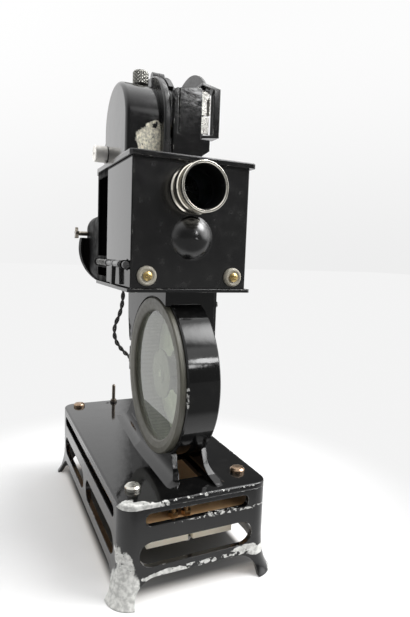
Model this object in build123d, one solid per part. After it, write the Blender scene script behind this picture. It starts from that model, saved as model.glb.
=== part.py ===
from build123d import *
import math
import os

# Hand-cranked table-top film projector on a ventilated resistor base.
# Millimetres. X runs to the right for someone facing the lens, Y runs to the rear
# and Z runs up from the surface that the four feet stand on.

# Resistor base
BASE_HALF_X = 44.65
BASE_HALF_Y = 92.1
BASE_CORNER = 9.0
BASE_WALL = 3.2
FRAME_TOP = 52.2
COVER_TOP = 55.2
SPLAY_HEIGHTS = (0.0, 5.0, 12.0, 22.0)
SPLAY_OUT = (5.35, 2.6, 0.8, 0.0)
ARCH_TOP = 13.5
ARCH_CORNER = 13.0
FRONT_ARCH_HALF = 37.5
SIDE_ARCH_HALF = 82.0
UPPER_SLOT = (42.2, 49.4)
LOWER_SLOT = (19.3, 33.3)
FRONT_UPPER_HALF = 31.0
FRONT_LOWER_HALF = 34.0
SIDE_SLOT_HALF = 78.0
SIDE_POST_HALF = 4.0
BOLT_X = 33.0
BOLT_FRONT_Y = -73.5
BOLT_REAR_Y = 83.0
BOLT_RADIUS = 2.0
BOARD_BOTTOM = 38.0
BOARD_TOP = 41.0
BAR_BOTTOM = 22.5
BAR_TOP = 27.5
BAR_INNER_X = 1.5
BAR_OUTER_X = 26.5
BAR_FRONT_Y = -81.0
BAR_REAR_Y = 66.0
BAR_BOLT_YS = (-74.0, 59.0)

# Take-up drum, neck and the foot that carries them
DRUM_Y = -41.9
DRUM_Z = 111.2
DRUM_RADIUS = 49.5
DRUM_INNER = 44.5
DRUM_LEFT = -9.2
DRUM_RIGHT = 10.6
DRUM_FLOOR = 7.4
BEZEL_OUTER = 47.8
BEZEL_INNER = 39.8
BEZEL_FACE = -12.8
GLASS_FACE = -9.4
GLASS_THICK = 1.4
NECK_FRONT_Y = -61.9
NECK_REAR_Y = 7.1
NECK_TOP_REAR_Y = 14.2
NECK_LEFT = -12.4
NECK_RIGHT = 18.5
NECK_TOP = 164.3
CASE_CENTRE_Y = -27.4
CASE_CENTRE_Z = 118.0
CASE_RADIUS = 34.5
CASE_WALL = 2.5
CASE_FLOOR = 12.4
HINGE_X = -10.3
HINGE_Y = 8.5
HINGE_PIN = 0.8
HINGE_BARREL = 1.9
HINGE_HALF_Z = 8.2
SLIT_X = (-5.3, 10.2)
SLIT_Y = (-72.0, -40.0)
TAKEUP_SHAFT = 2.5
TAKEUP_PULLEY = 12.0

# Mechanism box
BOX_HALF_X = 34.9
BOX_FRONT_Y = -68.1
BOX_REAR_Y = 13.9
BOX_BOTTOM = 166.2
BOX_TOP = 237.4
SHEET = 1.2
LID_BOTTOM = 236.2
LID_TOP = 239.3
COVER_STUD_X = 26.3
COVER_STUD_Z = 173.1
DOME_Z = 194.6
DOME_RADIUS = 12.4
DOME_RISE = 6.6
PANEL_FACE = 1.1
PANEL_REAR_Y = -18.0
LATCH_X = -38.0
LATCH_Z = 178.8
LATCH_EAR_YS = (-64.4, -2.8)

# Optics
LENS_Z = 221.6
TUBE_RADIUS = 12.6
TUBE_BORE = 11.4
LENS_MOUTH = 11.7
TUBE_FRONT_Y = -84.8
TUBE_REAR_Y = -50.2
SLEEVE_RADIUS = 13.5
COLLAR_RADIUS = 13.6
FILM_Y = -17.9

# Gear train: every gear has the same tooth size
MODULE = 0.8
GEAR_TEETH = 48
PINION_TEETH = 12
MITRE_TEETH = 16
TOOTH_SHARE = 0.41
ADDENDUM = 0.7 * MODULE
DEDENDUM = 1.05 * MODULE
PRESSURE_SLOPE = math.tan(math.radians(20.0))
RUNNING_GAP = 0.05
GEAR_RADIUS = MODULE * GEAR_TEETH / 2
PINION_RADIUS = MODULE * PINION_TEETH / 2
MITRE_RADIUS = MODULE * MITRE_TEETH / 2
GEAR_DISTANCE = GEAR_RADIUS + PINION_RADIUS
MAIN_Y = -30.9
MAIN_Z = 195.5
CRANK_DROP = 8.0
CRANK_Y = MAIN_Y + math.sqrt(GEAR_DISTANCE ** 2 - CRANK_DROP ** 2)
CRANK_Z = MAIN_Z - CRANK_DROP
CRANK_SHAFT = 3.0
CRANK_END = 2.75
MAIN_SHAFT = 2.0
CRANK_PULLEY = 8.0
BELT_X = 15.5
BELT_RADIUS = 0.8
SHUTTER_Y = -44.9
SHUTTER_RADIUS = 28.8
CLAW_PIVOT_Y = -39.9
CLAW_PIVOT_Z = 206.5
CAM_X = -9.5

# Film head and rewind gear on the lid
HUB_Y = -32.4
HUB_Z = 259.5
REWIND_Z = 245.1
REWIND_Y = HUB_Y + math.sqrt(GEAR_DISTANCE ** 2 - (HUB_Z - REWIND_Z) ** 2)
REWIND_RADIUS = 5.0
REWIND_END = -43.8
HOUSING_LEFT = -36.0
HOUSING_RIGHT = -16.0
HOUSING_RADIUS = 24.2
HOUSING_Z = 258.5
HOUSING_WALL = 2.2
FLANGE_RADIUS = 29.2
FLANGE_LEFT = -16.0
FLANGE_RIGHT = -11.6
CASSETTE_RADIUS = 25.0
CASSETTE_HALF = 5.5
BACKPLATE_RADIUS = 31.2
BACKPLATE_X = 9.4
KNOB_X = -21.7
KNOB_Y = -34.4
KNOB_LOW = 283.2
HEAD_FRONT_Y = -62.9
HEAD_REAR_Y = -58.4
HEAD_FRAME_DEPTH = 9.0
ARM_PIVOT_ANGLE = 97.0
ARM_PIVOT_RADIUS = 28.8
ARM_KNUCKLE = 2.9
ARM_RIGHT = -8.4

# Lamp house behind the box
LAMP_Y = 28.6
RIM_Z = 188.0
RIM_OUTER = 32.3
RIM_BORE = 22.4
RIM_SHOULDER = 25.3
HOOD_TOP = 214.5
RIM_FRONT_Y = 90.0
RIM_REAR_Y = 96.5
STAR_Y = 93.2
STAR_Z = 199.5

# Flex from the lamp house to the resistor base, as points of its route
FLEX_DIAMETER = 3.2
FLEX_END_X = 16.8
FLEX_END_Y = 46.6
FLEX_ROUTE = (
    (-12.0, 29.0, 160.0),
    (-12.0, 29.0, 150.0),
    (-14.2, 28.6, 140.0),
    (-18.4, 29.2, 130.6),
    (-17.4, 30.6, 120.4),
    (-11.4, 33.0, 112.0),
    (-3.6, 36.8, 105.0),
    (4.4, 41.0, 98.0),
    (11.0, 44.6, 89.6),
    (15.4, 46.2, 79.8),
    (FLEX_END_X, FLEX_END_Y, 69.2),
    (FLEX_END_X, FLEX_END_Y, 58.2),
)


def block(x0, x1, y0, y1, z0, z1):
    """A rectangular solid between two corners."""
    centre = Pos((x0 + x1) / 2, (y0 + y1) / 2, (z0 + z1) / 2)
    return centre * Box(x1 - x0, y1 - y0, z1 - z0)


def rod_x(x0, x1, y, z, radius):
    """A round bar along X."""
    return Pos((x0 + x1) / 2, y, z) * Rot(0, 90, 0) * Cylinder(radius, x1 - x0)


def rod_y(y0, y1, x, z, radius):
    """A round bar along Y."""
    return Pos(x, (y0 + y1) / 2, z) * Rot(90, 0, 0) * Cylinder(radius, y1 - y0)


def rod_z(z0, z1, x, y, radius):
    """A round bar along Z."""
    return Pos(x, y, (z0 + z1) / 2) * Cylinder(radius, z1 - z0)


def plate_x(sketch, x0, x1):
    """A profile drawn in Y and Z, made solid from x0 to x1."""
    return extrude(Plane.YZ.offset(x0) * sketch, amount=x1 - x0)


def plate_y(sketch, y0, y1):
    """A profile drawn in X and Z, made solid from y0 to y1."""
    return extrude(Plane.XZ.offset(-y1) * sketch, amount=y1 - y0)


def plate_z(sketch, z0, z1):
    """A profile drawn in X and Y, made solid from z0 to z1."""
    return extrude(Plane.XY.offset(z0) * sketch, amount=z1 - z0)


def outline(*points):
    """A face with straight sides through the given points."""
    return make_face(Polyline(*points, close=True))


def turned_y(points, x, z):
    """A solid turned about an axis along Y, from (radius, y) points."""
    profile = make_face(Polyline(*[(r, y, 0) for r, y in points], close=True))
    return Pos(x, 0, z) * revolve(profile, axis=Axis.Y)


def turned_x(points, y, z):
    """A solid turned about an axis along X, from (radius, x) points."""
    profile = make_face(Polyline(*[(x, r, 0) for r, x in points], close=True))
    return Pos(0, y, z) * revolve(profile, axis=Axis.X)


def turned_z(points, x, y):
    """A solid turned about an axis along Z, from (radius, z) points."""
    profile = make_face(Polyline(*[(r, 0, z) for r, z in points], close=True))
    return Pos(x, y, 0) * revolve(profile, axis=Axis.Z)


def cap_arc(edge, start, rise):
    """An arc from a rim in to the axis, round a centre on that axis."""
    ball = (edge ** 2 + rise ** 2) / (2 * abs(rise))
    drop = ball - math.sqrt(ball ** 2 - (edge / 2) ** 2)
    middle = start + rise - math.copysign(drop, rise)
    return ThreePointArc((edge, start), (edge / 2, middle), (0, start + rise))


def domed_y(edge, start, rise, flat, x, z):
    """A solid about an axis along Y: a domed face at one end, flat at the other."""
    profile = cap_arc(edge, start, rise) + Polyline((0, start + rise), (0, flat), (edge, flat), (edge, start))
    return Pos(x, 0, z) * revolve(make_face(profile), axis=Axis.Y)


def upright_slot(half_width, low, high, corner):
    """A round-cornered slot drawn in a vertical plane."""
    return Pos(0, (low + high) / 2) * RectangleRounded(2 * half_width, high - low, corner)


# Resistor base


def base_section(height, splay, wall):
    """The base frame's plan at one height, drawn in by the wall."""
    grown = splay - wall
    corner = BASE_CORNER + 0.9 * splay - wall
    plan = RectangleRounded(2 * (BASE_HALF_X + grown), 2 * (BASE_HALF_Y + grown), corner)
    return Plane.XY.offset(height) * plan


def splayed_column(wall):
    """The frame's outer form, with sides that flare out towards the feet."""
    sections = []
    for height, splay in zip(SPLAY_HEIGHTS, SPLAY_OUT):
        sections.append(base_section(height, splay, wall))
    flare = loft(sections)
    column = extrude(base_section(SPLAY_HEIGHTS[-1], 0.0, wall), amount=FRAME_TOP - SPLAY_HEIGHTS[-1])
    return flare + column


def make_base_frame():
    frame = splayed_column(0.0) - splayed_column(BASE_WALL)
    reach_x = BASE_HALF_X + 20
    reach_y = BASE_HALF_Y + 20
    front_arch = upright_slot(FRONT_ARCH_HALF, -40.0, ARCH_TOP, ARCH_CORNER)
    side_arch = upright_slot(SIDE_ARCH_HALF, -40.0, ARCH_TOP, ARCH_CORNER)
    frame -= plate_y(front_arch, -reach_y, reach_y)
    frame -= plate_x(side_arch, -reach_x, reach_x)
    frame -= plate_y(upright_slot(FRONT_UPPER_HALF, *UPPER_SLOT, 3.4), -reach_y, reach_y)
    frame -= plate_y(upright_slot(FRONT_LOWER_HALF, *LOWER_SLOT, 6.9), -reach_y, reach_y)
    frame -= plate_x(upright_slot(SIDE_SLOT_HALF, *UPPER_SLOT, 3.4), -reach_x, reach_x)
    half_slot = (SIDE_SLOT_HALF - SIDE_POST_HALF) / 2
    for side in (-1, 1):
        lower = Pos(side * (half_slot + SIDE_POST_HALF), 0) * upright_slot(half_slot, *LOWER_SLOT, 6.9)
        frame -= plate_x(lower, -reach_x, reach_x)
    inner_x = BASE_HALF_X - BASE_WALL
    for side in (-1, 1):
        for bolt_y in (BOLT_FRONT_Y, BOLT_REAR_Y):
            boss = rod_z(BOARD_TOP + 0.6, FRAME_TOP, side * BOLT_X, bolt_y, 4.4)
            web_ends = sorted((side * BOLT_X, side * (inner_x + 0.5)))
            web = block(*web_ends, bolt_y - 2.2, bolt_y + 2.2, BOARD_TOP + 0.6, UPPER_SLOT[0])
            frame += boss + web
            frame -= rod_z(44.0, FRAME_TOP + 1, side * BOLT_X, bolt_y, BOLT_RADIUS + RUNNING_GAP)
        for ledge_y in (-58.0, 58.0):
            ledge_ends = sorted((side * (inner_x - 3.4), side * (inner_x + 0.5)))
            frame += block(*ledge_ends, ledge_y - 6, ledge_y + 6, BOARD_BOTTOM - 2.4, BOARD_BOTTOM)
    return frame


def make_resistor_board():
    half_x = BASE_HALF_X - BASE_WALL - 0.8
    half_y = BASE_HALF_Y - BASE_WALL - 0.9
    board = plate_z(RectangleRounded(2 * half_x, 2 * half_y, 6.0), BOARD_BOTTOM, BOARD_TOP)
    for bolt_y in BAR_BOLT_YS:
        board -= rod_z(BOARD_BOTTOM - 1, BOARD_TOP + 1, 0, bolt_y, 1.3)
    board -= rod_z(BOARD_BOTTOM - 1, BOARD_TOP + 1, FLEX_END_X, FLEX_END_Y, 2.6)
    return board


def make_resistor_bars():
    bars = []
    for side in (-1, 1):
        ends = sorted((side * BAR_INNER_X, side * BAR_OUTER_X))
        bar = block(*ends, BAR_FRONT_Y, BAR_REAR_Y, BAR_BOTTOM, BAR_TOP)
        for groove in range(8):
            groove_y = BAR_FRONT_Y + 24 + groove * 14
            bar -= block(*ends, groove_y, groove_y + 4, BAR_TOP - 1.2, BAR_TOP + 1)
        bars.append(bar)
    return Compound(bars)


def make_bar_bolts():
    """Each bolt carries a strap under both bars and a spacer between bars and board."""
    bolts = []
    for bolt_y in BAR_BOLT_YS:
        strap = block(-9.0, 9.0, bolt_y - 4, bolt_y + 4, BAR_BOTTOM - 1.3, BAR_BOTTOM)
        spacer = block(-7.0, 7.0, bolt_y - 4, bolt_y + 4, BAR_TOP, BOARD_BOTTOM)
        stem = rod_z(BAR_BOTTOM - 2.6, BOARD_TOP + 3.2, 0, bolt_y, 1.25)
        head = rod_z(BAR_BOTTOM - 3.4, BAR_BOTTOM - 1.3, 0, bolt_y, 2.6)
        nut = plate_z(Pos(0, bolt_y) * RegularPolygon(3.2, 6), BOARD_TOP, BOARD_TOP + 2.4)
        bolts.append(strap + spacer + stem + head + nut)
    return Compound(bolts)


def make_board_terminals():
    terminals = []
    for x, y in ((-12.5, -84.0), (-5.0, -84.4), (22.0, 72.0)):
        nut = plate_z(Pos(x, y) * RegularPolygon(3.0, 6), BOARD_TOP, BOARD_TOP + 2.6)
        stud = rod_z(BOARD_TOP, BOARD_TOP + 4.6, x, y, 1.4)
        terminals.append(nut + stud)
    return Compound(terminals)


def make_cover_bolts():
    bolts = []
    for x in (-BOLT_X, BOLT_X):
        for y in (BOLT_FRONT_Y, BOLT_REAR_Y):
            head = [(0, COVER_TOP), (4.5, COVER_TOP), (4.5, COVER_TOP + 1.6), (3.6, COVER_TOP + 2.6),
                    (1.8, COVER_TOP + 3.0), (0, COVER_TOP + 3.0)]
            bolt = turned_z(head, x, y) + rod_z(45.0, COVER_TOP + 0.5, x, y, BOLT_RADIUS)
            bolts.append(bolt)
    return Compound(bolts)


def make_terminal_pin():
    stem = [(0, 48.0), (1.4, 48.0), (1.4, 69.6), (0.8, 70.8), (0, 70.8)]
    collar = rod_z(COVER_TOP + 1.2, COVER_TOP + 2.4, -3.0, 86.0, 2.4)
    return turned_z(stem, -3.0, 86.0) + collar


def make_cover_bushes():
    """Insulating bushes: under the inlet pin and where the flex enters the cover."""
    pin_bush = rod_z(FRAME_TOP, COVER_TOP + 1.2, -3.0, 86.0, 3.0) - rod_z(50, 60, -3.0, 86.0, 1.45)
    flex_bush = rod_z(FRAME_TOP - 1.5, COVER_TOP + 3.0, FLEX_END_X, FLEX_END_Y, 2.95)
    flex_bush += rod_z(COVER_TOP, COVER_TOP + 1.4, FLEX_END_X, FLEX_END_Y, 3.9)
    return Compound([pin_bush, flex_bush])


# Casting: cover plate, foot, drum and neck in one piece


def foot_plan(grown):
    """The plan of the foot under the drum: a boat with its point to the rear."""
    boat = outline((DRUM_LEFT + 0.4, -77.0), (13.2, -82.0), (13.2, -16.0), (1.2, 84.0),
                   (-1.2, 84.0), (DRUM_LEFT + 0.4, -16.0))
    return offset(boat, amount=grown, kind=Kind.ARC)


def make_foot():
    """Flared walls that rise from the cover plate, cut to the side view's crest."""
    flare_heights = (COVER_TOP - 0.5, COVER_TOP + 1.6, COVER_TOP + 5.0, COVER_TOP + 12.0)
    flare_out = (7.5, 3.6, 1.2, 0.3)
    sections = []
    for height, grown in zip(flare_heights, flare_out):
        sections.append(Plane.XY.offset(height) * foot_plan(grown))
    foot = loft(sections)
    foot += extrude(Plane.XY.offset(flare_heights[-1]) * foot_plan(flare_out[-1]), amount=36.0)
    crest = ThreePointArc((NECK_REAR_Y, 101.0), (30.0, 66.5), (93.0, COVER_TOP))
    side = Polyline((93.0, COVER_TOP), (93.0, COVER_TOP - 2), (-89.0, COVER_TOP - 2), (-89.0, COVER_TOP + 0.3),
                    (-78.0, 58.2), (-72.5, 62.6), (-69.0, 71.0), (-62.0, 101.0), (NECK_REAR_Y, 101.0))
    foot &= plate_x(make_face(crest + side), -30, 30)
    return foot - foot_channel()


def foot_channel():
    """The hollow between the foot's two front ribs, wider at the cover than under the drum."""
    low, high = SLIT_X
    sections = []
    for height, spread in ((0.0, 4.6), (1.6, 2.6), (5.0, 0.8), (16.8, 0.0)):
        rise = Plane.XY.offset(COVER_TOP + height)
        width = high - low + 1.45 * spread
        centre = (high + low) / 2 - 0.275 * spread
        sections.append(rise * Pos(centre, (SLIT_Y[1] - 95.0) / 2) * Rectangle(width, SLIT_Y[1] + 95.0))
    return loft(sections, ruled=True) - rod_x(-20, 20, DRUM_Y, DRUM_Z, DRUM_RADIUS - 0.5)


def make_neck():
    """The upright from the drum to the box, wider on the right for the belt."""
    upright = outline((NECK_FRONT_Y, CASE_CENTRE_Z), (NECK_FRONT_Y, NECK_TOP), (NECK_TOP_REAR_Y, NECK_TOP),
                      (NECK_TOP_REAR_Y - 1.4, 140.0), (NECK_REAR_Y + 2.6, 126.0), (NECK_REAR_Y - 1.0, 121.0),
                      (NECK_REAR_Y - 20, CASE_CENTRE_Z))
    neck = plate_x(upright, DRUM_LEFT, DRUM_RIGHT)
    cheek = upright & Pos(0, 150.0) * Rectangle(200, 52.0)
    cheek -= Pos(DRUM_Y, DRUM_Z) * Circle(BEZEL_OUTER + 0.8)
    neck += plate_x(cheek, NECK_LEFT, DRUM_LEFT)
    case = Pos(CASE_CENTRE_Y, CASE_CENTRE_Z) * Circle(CASE_RADIUS)
    case += Pos(CASE_CENTRE_Y, (CASE_CENTRE_Z + NECK_TOP) / 2) * Rectangle(
        2 * CASE_RADIUS, NECK_TOP - CASE_CENTRE_Z)
    neck += plate_x(case, -2.0, NECK_RIGHT)
    hollow = Pos(CASE_CENTRE_Y, CASE_CENTRE_Z) * Circle(CASE_RADIUS - CASE_WALL)
    hollow += Pos(CASE_CENTRE_Y, (CASE_CENTRE_Z + NECK_TOP) / 2 + 2) * Rectangle(
        2 * (CASE_RADIUS - CASE_WALL), NECK_TOP - CASE_CENTRE_Z + 4)
    return neck, plate_x(hollow, CASE_FLOOR, NECK_RIGHT + 1)


def make_main_casting():
    plan = RectangleRounded(2 * BASE_HALF_X, 2 * BASE_HALF_Y, BASE_CORNER)
    plate = fillet(plate_z(plan, FRAME_TOP, COVER_TOP).edges().group_by(Axis.Z)[-1], 1.2)
    neck, hollow = make_neck()
    drum = rod_x(DRUM_LEFT, DRUM_RIGHT, DRUM_Y, DRUM_Z, DRUM_RADIUS)
    drum = chamfer(drum.edges().filter_by(GeomType.CIRCLE), 0.8)
    casting = plate + make_foot() + neck + drum
    casting -= hollow
    casting -= rod_x(DRUM_LEFT - 5, DRUM_FLOOR, DRUM_Y, DRUM_Z, DRUM_INNER)
    bearing = rod_x(DRUM_FLOOR - 1.0, CASE_FLOOR + 0.6, DRUM_Y, DRUM_Z, 6.0)
    casting += bearing
    casting -= rod_x(0, 20, DRUM_Y, DRUM_Z, TAKEUP_SHAFT + RUNNING_GAP)
    film_slot_y = (FILM_Y - 5.0, FILM_Y + 5.0)
    casting -= block(-6.0, 6.0, *film_slot_y, DRUM_Z + 30, NECK_TOP + 1)
    casting -= block(*SLIT_X, *SLIT_Y, FRAME_TOP - 1, COVER_TOP + 1)
    for x in (-BOLT_X, BOLT_X):
        for y in (BOLT_FRONT_Y, BOLT_REAR_Y):
            casting -= rod_z(50, 60, x, y, BOLT_RADIUS + RUNNING_GAP)
    casting -= rod_z(50, 60, -3.0, 86.0, 3.05)
    casting -= rod_z(50, 60, -8.6, 84.0, 1.3)
    casting -= rod_z(50, 60, FLEX_END_X, FLEX_END_Y, 3.0)
    for low, high in hinge_ears():
        ear = rod_z(low, high, HINGE_X, HINGE_Y, HINGE_BARREL)
        ear += block(DRUM_LEFT - 0.6, DRUM_LEFT + 3, HINGE_Y - 2.6, HINGE_Y + 0.6, low, high)
        casting += ear
    casting -= rod_z(DRUM_Z - 20, DRUM_Z + 20, HINGE_X, HINGE_Y, HINGE_PIN + RUNNING_GAP)
    return casting


def hinge_ears():
    """Heights of the two ears that the casting gives to the door's hinge."""
    third = HINGE_HALF_Z / 3
    return ((DRUM_Z - HINGE_HALF_Z, DRUM_Z - third - 0.2), (DRUM_Z + third + 0.2, DRUM_Z + HINGE_HALF_Z))


def make_door_bezel():
    seat = BEZEL_INNER + 2.1
    skirt = DRUM_INNER - 0.6
    back = GLASS_FACE + GLASS_THICK + 0.4
    face = BEZEL_FACE
    ring = [(BEZEL_OUTER, DRUM_LEFT - 0.1), (BEZEL_OUTER, face + 0.7), (BEZEL_OUTER - 0.7, face),
            (BEZEL_OUTER - 3.6, face), (BEZEL_INNER + 0.7, face + 0.9), (BEZEL_INNER, face + 1.6),
            (BEZEL_INNER, GLASS_FACE), (seat, GLASS_FACE), (seat, back), (skirt, back),
            (skirt, DRUM_LEFT - 0.1)]
    bezel = turned_x(ring, DRUM_Y, DRUM_Z)
    third = HINGE_HALF_Z / 3
    knuckle = rod_z(DRUM_Z - third, DRUM_Z + third, HINGE_X, HINGE_Y, HINGE_BARREL)
    leaf = block(BEZEL_FACE + 0.1, DRUM_LEFT - 0.4, DRUM_Y + BEZEL_OUTER - 2, HINGE_Y,
                 DRUM_Z - third, DRUM_Z + third)
    bezel += knuckle + leaf
    return bezel - rod_z(DRUM_Z - 20, DRUM_Z + 20, HINGE_X, HINGE_Y, HINGE_PIN + RUNNING_GAP)


def make_door_glass():
    return rod_x(GLASS_FACE, GLASS_FACE + GLASS_THICK, DRUM_Y, DRUM_Z, BEZEL_INNER + 2.05)


def make_door_hinge_pin():
    pin = rod_z(DRUM_Z - HINGE_HALF_Z - 0.8, DRUM_Z + HINGE_HALF_Z + 0.8, HINGE_X, HINGE_Y, HINGE_PIN)
    for low in (DRUM_Z - HINGE_HALF_Z - 0.8, DRUM_Z + HINGE_HALF_Z + 0.05):
        pin += rod_z(low, low + 0.75, HINGE_X, HINGE_Y, 1.3)
    return pin


def make_takeup_core():
    """The turned core that the film winds on, with a hub face and a clip slot."""
    profile = [(TAKEUP_SHAFT, DRUM_FLOOR - 1.5), (15.0, DRUM_FLOOR - 1.5), (15.0, DRUM_FLOOR - 2.7),
               (10.5, DRUM_FLOOR - 2.7), (10.5, -5.4), (15.0, -5.4), (15.0, -6.6), (6.0, -6.6),
               (5.0, -7.2), (TAKEUP_SHAFT, -7.2)]
    core = turned_x(profile, DRUM_Y, DRUM_Z)
    return core - block(-5.0, DRUM_FLOOR - 3, DRUM_Y - 12, DRUM_Y - 8.6, DRUM_Z - 0.6, DRUM_Z + 0.6)


def make_takeup_shaft():
    """The core's shaft, with the belt pulley on its right end."""
    shaft = rod_x(-7.5, NECK_RIGHT - 0.4, DRUM_Y, DRUM_Z, TAKEUP_SHAFT)
    groove = [(0, BELT_X - 1.9), (TAKEUP_PULLEY, BELT_X - 1.9), (TAKEUP_PULLEY - 1.6, BELT_X),
              (TAKEUP_PULLEY, BELT_X + 1.9), (0, BELT_X + 1.9)]
    return shaft + turned_x(groove, DRUM_Y, DRUM_Z)


def make_spring_belt():
    """An open belt round both pulleys, lying 0.3 mm clear of their grooves."""
    low = Vector(DRUM_Y, DRUM_Z)
    high = Vector(CRANK_Y, CRANK_Z)
    low_radius = TAKEUP_PULLEY - 1.6 + BELT_RADIUS + 0.3
    high_radius = CRANK_PULLEY - 1.6 + BELT_RADIUS + 0.3
    along = high - low
    heading = math.atan2(along.Y, along.X)
    spread = math.acos((low_radius - high_radius) / along.length)

    def rim(centre, radius, angle):
        return (centre.X + radius * math.cos(angle), centre.Y + radius * math.sin(angle))

    left = heading + spread
    right = heading - spread
    low_arc = ThreePointArc(rim(low, low_radius, left), rim(low, low_radius, heading + math.pi),
                            rim(low, low_radius, right))
    high_arc = ThreePointArc(rim(high, high_radius, right), rim(high, high_radius, heading),
                             rim(high, high_radius, left))
    loop = Wire([low_arc.edge(), Line(low_arc @ 1, high_arc @ 0).edge(), high_arc.edge(),
                 Line(high_arc @ 1, low_arc @ 0).edge()])
    path = Plane.YZ.offset(BELT_X) * loop
    section = Plane(path @ 0, z_dir=path % 0) * Circle(BELT_RADIUS)
    return sweep(section, path=path)


def make_side_cover():
    face = Pos(CASE_CENTRE_Y, CASE_CENTRE_Z) * Circle(CASE_RADIUS)
    face += Pos(CASE_CENTRE_Y, (CASE_CENTRE_Z + NECK_TOP) / 2) * Rectangle(
        2 * CASE_RADIUS, NECK_TOP - CASE_CENTRE_Z)
    cover = plate_x(face, NECK_RIGHT, NECK_RIGHT + 1.5)
    for y, z in side_screw_places():
        cover -= rod_x(NECK_RIGHT - 1, NECK_RIGHT + 3, y, z, 0.85)
    return cover


def side_screw_places():
    """Screw centres on the case's wall, round the belt cover's edge."""
    inset = CASE_RADIUS - CASE_WALL / 2
    places = []
    for side in (-1, 1):
        places.append((CASE_CENTRE_Y + side * inset, NECK_TOP - 8.0))
        places.append((CASE_CENTRE_Y + side * inset, CASE_CENTRE_Z + 2.0))
    places.append((CASE_CENTRE_Y, CASE_CENTRE_Z - inset))
    return places


def make_side_screws():
    screws = []
    face = NECK_RIGHT + 1.5
    for y, z in side_screw_places():
        head = [(0, face), (1.9, face), (1.7, face + 0.8), (0.9, face + 1.1), (0, face + 1.1)]
        screws.append(turned_x(head, y, z) + rod_x(NECK_RIGHT + 0.05, face + 0.2, y, z, 0.8))
    return Compound(screws)


# Mechanism box


def make_mechanism_box():
    """Folded sheet: two sides, a back with the light port, and a folded front edge."""
    box = block(-BOX_HALF_X, BOX_HALF_X, BOX_FRONT_Y + SHEET, BOX_REAR_Y, BOX_BOTTOM, BOX_TOP)
    inner = BOX_HALF_X - SHEET
    box -= block(-inner, inner, BOX_FRONT_Y + 2 * SHEET, BOX_REAR_Y - SHEET, BOX_BOTTOM - 1, BOX_TOP + 1)
    opening = upright_slot(inner - 4.4, BOX_BOTTOM - 10, BOX_TOP + 10, 2.0)
    corner_tabs = Pos(0, BOX_BOTTOM) * Rectangle(80, 25)
    corner_tabs -= Pos(0, BOX_BOTTOM) * Rectangle(2 * (COVER_STUD_X - 4), 30)
    box -= plate_y(opening - corner_tabs, BOX_FRONT_Y, BOX_FRONT_Y + 3)
    for side in (-1, 1):
        box -= rod_y(BOX_FRONT_Y, BOX_FRONT_Y + 4, side * COVER_STUD_X, COVER_STUD_Z, 1.55)
    box -= rod_y(BOX_REAR_Y - 3, BOX_REAR_Y + 1, 0, LENS_Z, 10.25)
    box -= rod_x(BOX_HALF_X - 3, BOX_HALF_X + 1, CRANK_Y, CRANK_Z, 5.0)
    for low, high in ((169.6, 175.2), (182.6, 233.0)):
        box -= block(-BOX_HALF_X - 1, -inner + 1, -15.5, 11.2, low, high)
    for y in LATCH_EAR_YS:
        ear = rod_y(y - 1.1, y + 1.1, LATCH_X, LATCH_Z, 2.5)
        ear += block(LATCH_X, -BOX_HALF_X + 0.5, y - 1.1, y + 1.1, LATCH_Z - 2.5, LATCH_Z + 2.5)
        box += ear - rod_y(y - 2, y + 2, LATCH_X, LATCH_Z, 1.55)
    return box


def make_front_cover():
    plate = block(-BOX_HALF_X, BOX_HALF_X, BOX_FRONT_Y, BOX_FRONT_Y + SHEET, BOX_BOTTOM, BOX_TOP)
    plate += domed_y(DOME_RADIUS, BOX_FRONT_Y, -DOME_RISE, BOX_FRONT_Y + 0.6, 0, DOME_Z)
    plate -= domed_y(DOME_RADIUS - 0.9, BOX_FRONT_Y + SHEET, -DOME_RISE, BOX_FRONT_Y + SHEET + 1, 0, DOME_Z)
    boss = rod_y(BOX_FRONT_Y - 5.55, BOX_FRONT_Y + 4.0, 0, MAIN_Z, 4.0)
    plate += boss
    plate -= rod_y(BOX_FRONT_Y - 2.2, BOX_FRONT_Y + 6, 0, MAIN_Z, MAIN_SHAFT + RUNNING_GAP)
    plate -= rod_y(BOX_FRONT_Y - 1, BOX_FRONT_Y + 3, 0, LENS_Z, SLEEVE_RADIUS)
    for side in (-1, 1):
        plate -= rod_y(BOX_FRONT_Y - 1, BOX_FRONT_Y + 3, side * COVER_STUD_X, COVER_STUD_Z, 1.55)
    return plate


def make_left_panel():
    """Glossy sheet on the left of the box, notched for the latch rod's front ear."""
    panel = block(-BOX_HALF_X - PANEL_FACE, -BOX_HALF_X, BOX_FRONT_Y - 1.8, PANEL_REAR_Y,
                  BOX_BOTTOM + 0.6, LID_BOTTOM - 0.4)
    ear_y = LATCH_EAR_YS[0]
    return panel - block(-40, -30, ear_y - 1.6, ear_y + 1.6, LATCH_Z - 3.0, LATCH_Z + 3.0)


def make_cover_nuts():
    nuts = []
    for side in (-1, 1):
        profile = [(1.55, BOX_FRONT_Y), (5.5, BOX_FRONT_Y), (5.5, BOX_FRONT_Y - 1.3), (4.9, BOX_FRONT_Y - 2.2),
                   (4.1, BOX_FRONT_Y - 2.4), (3.1, BOX_FRONT_Y - 1.9), (1.55, BOX_FRONT_Y - 1.9)]
        nuts.append(turned_y(profile, side * COVER_STUD_X, COVER_STUD_Z))
    return Compound(nuts)


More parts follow.
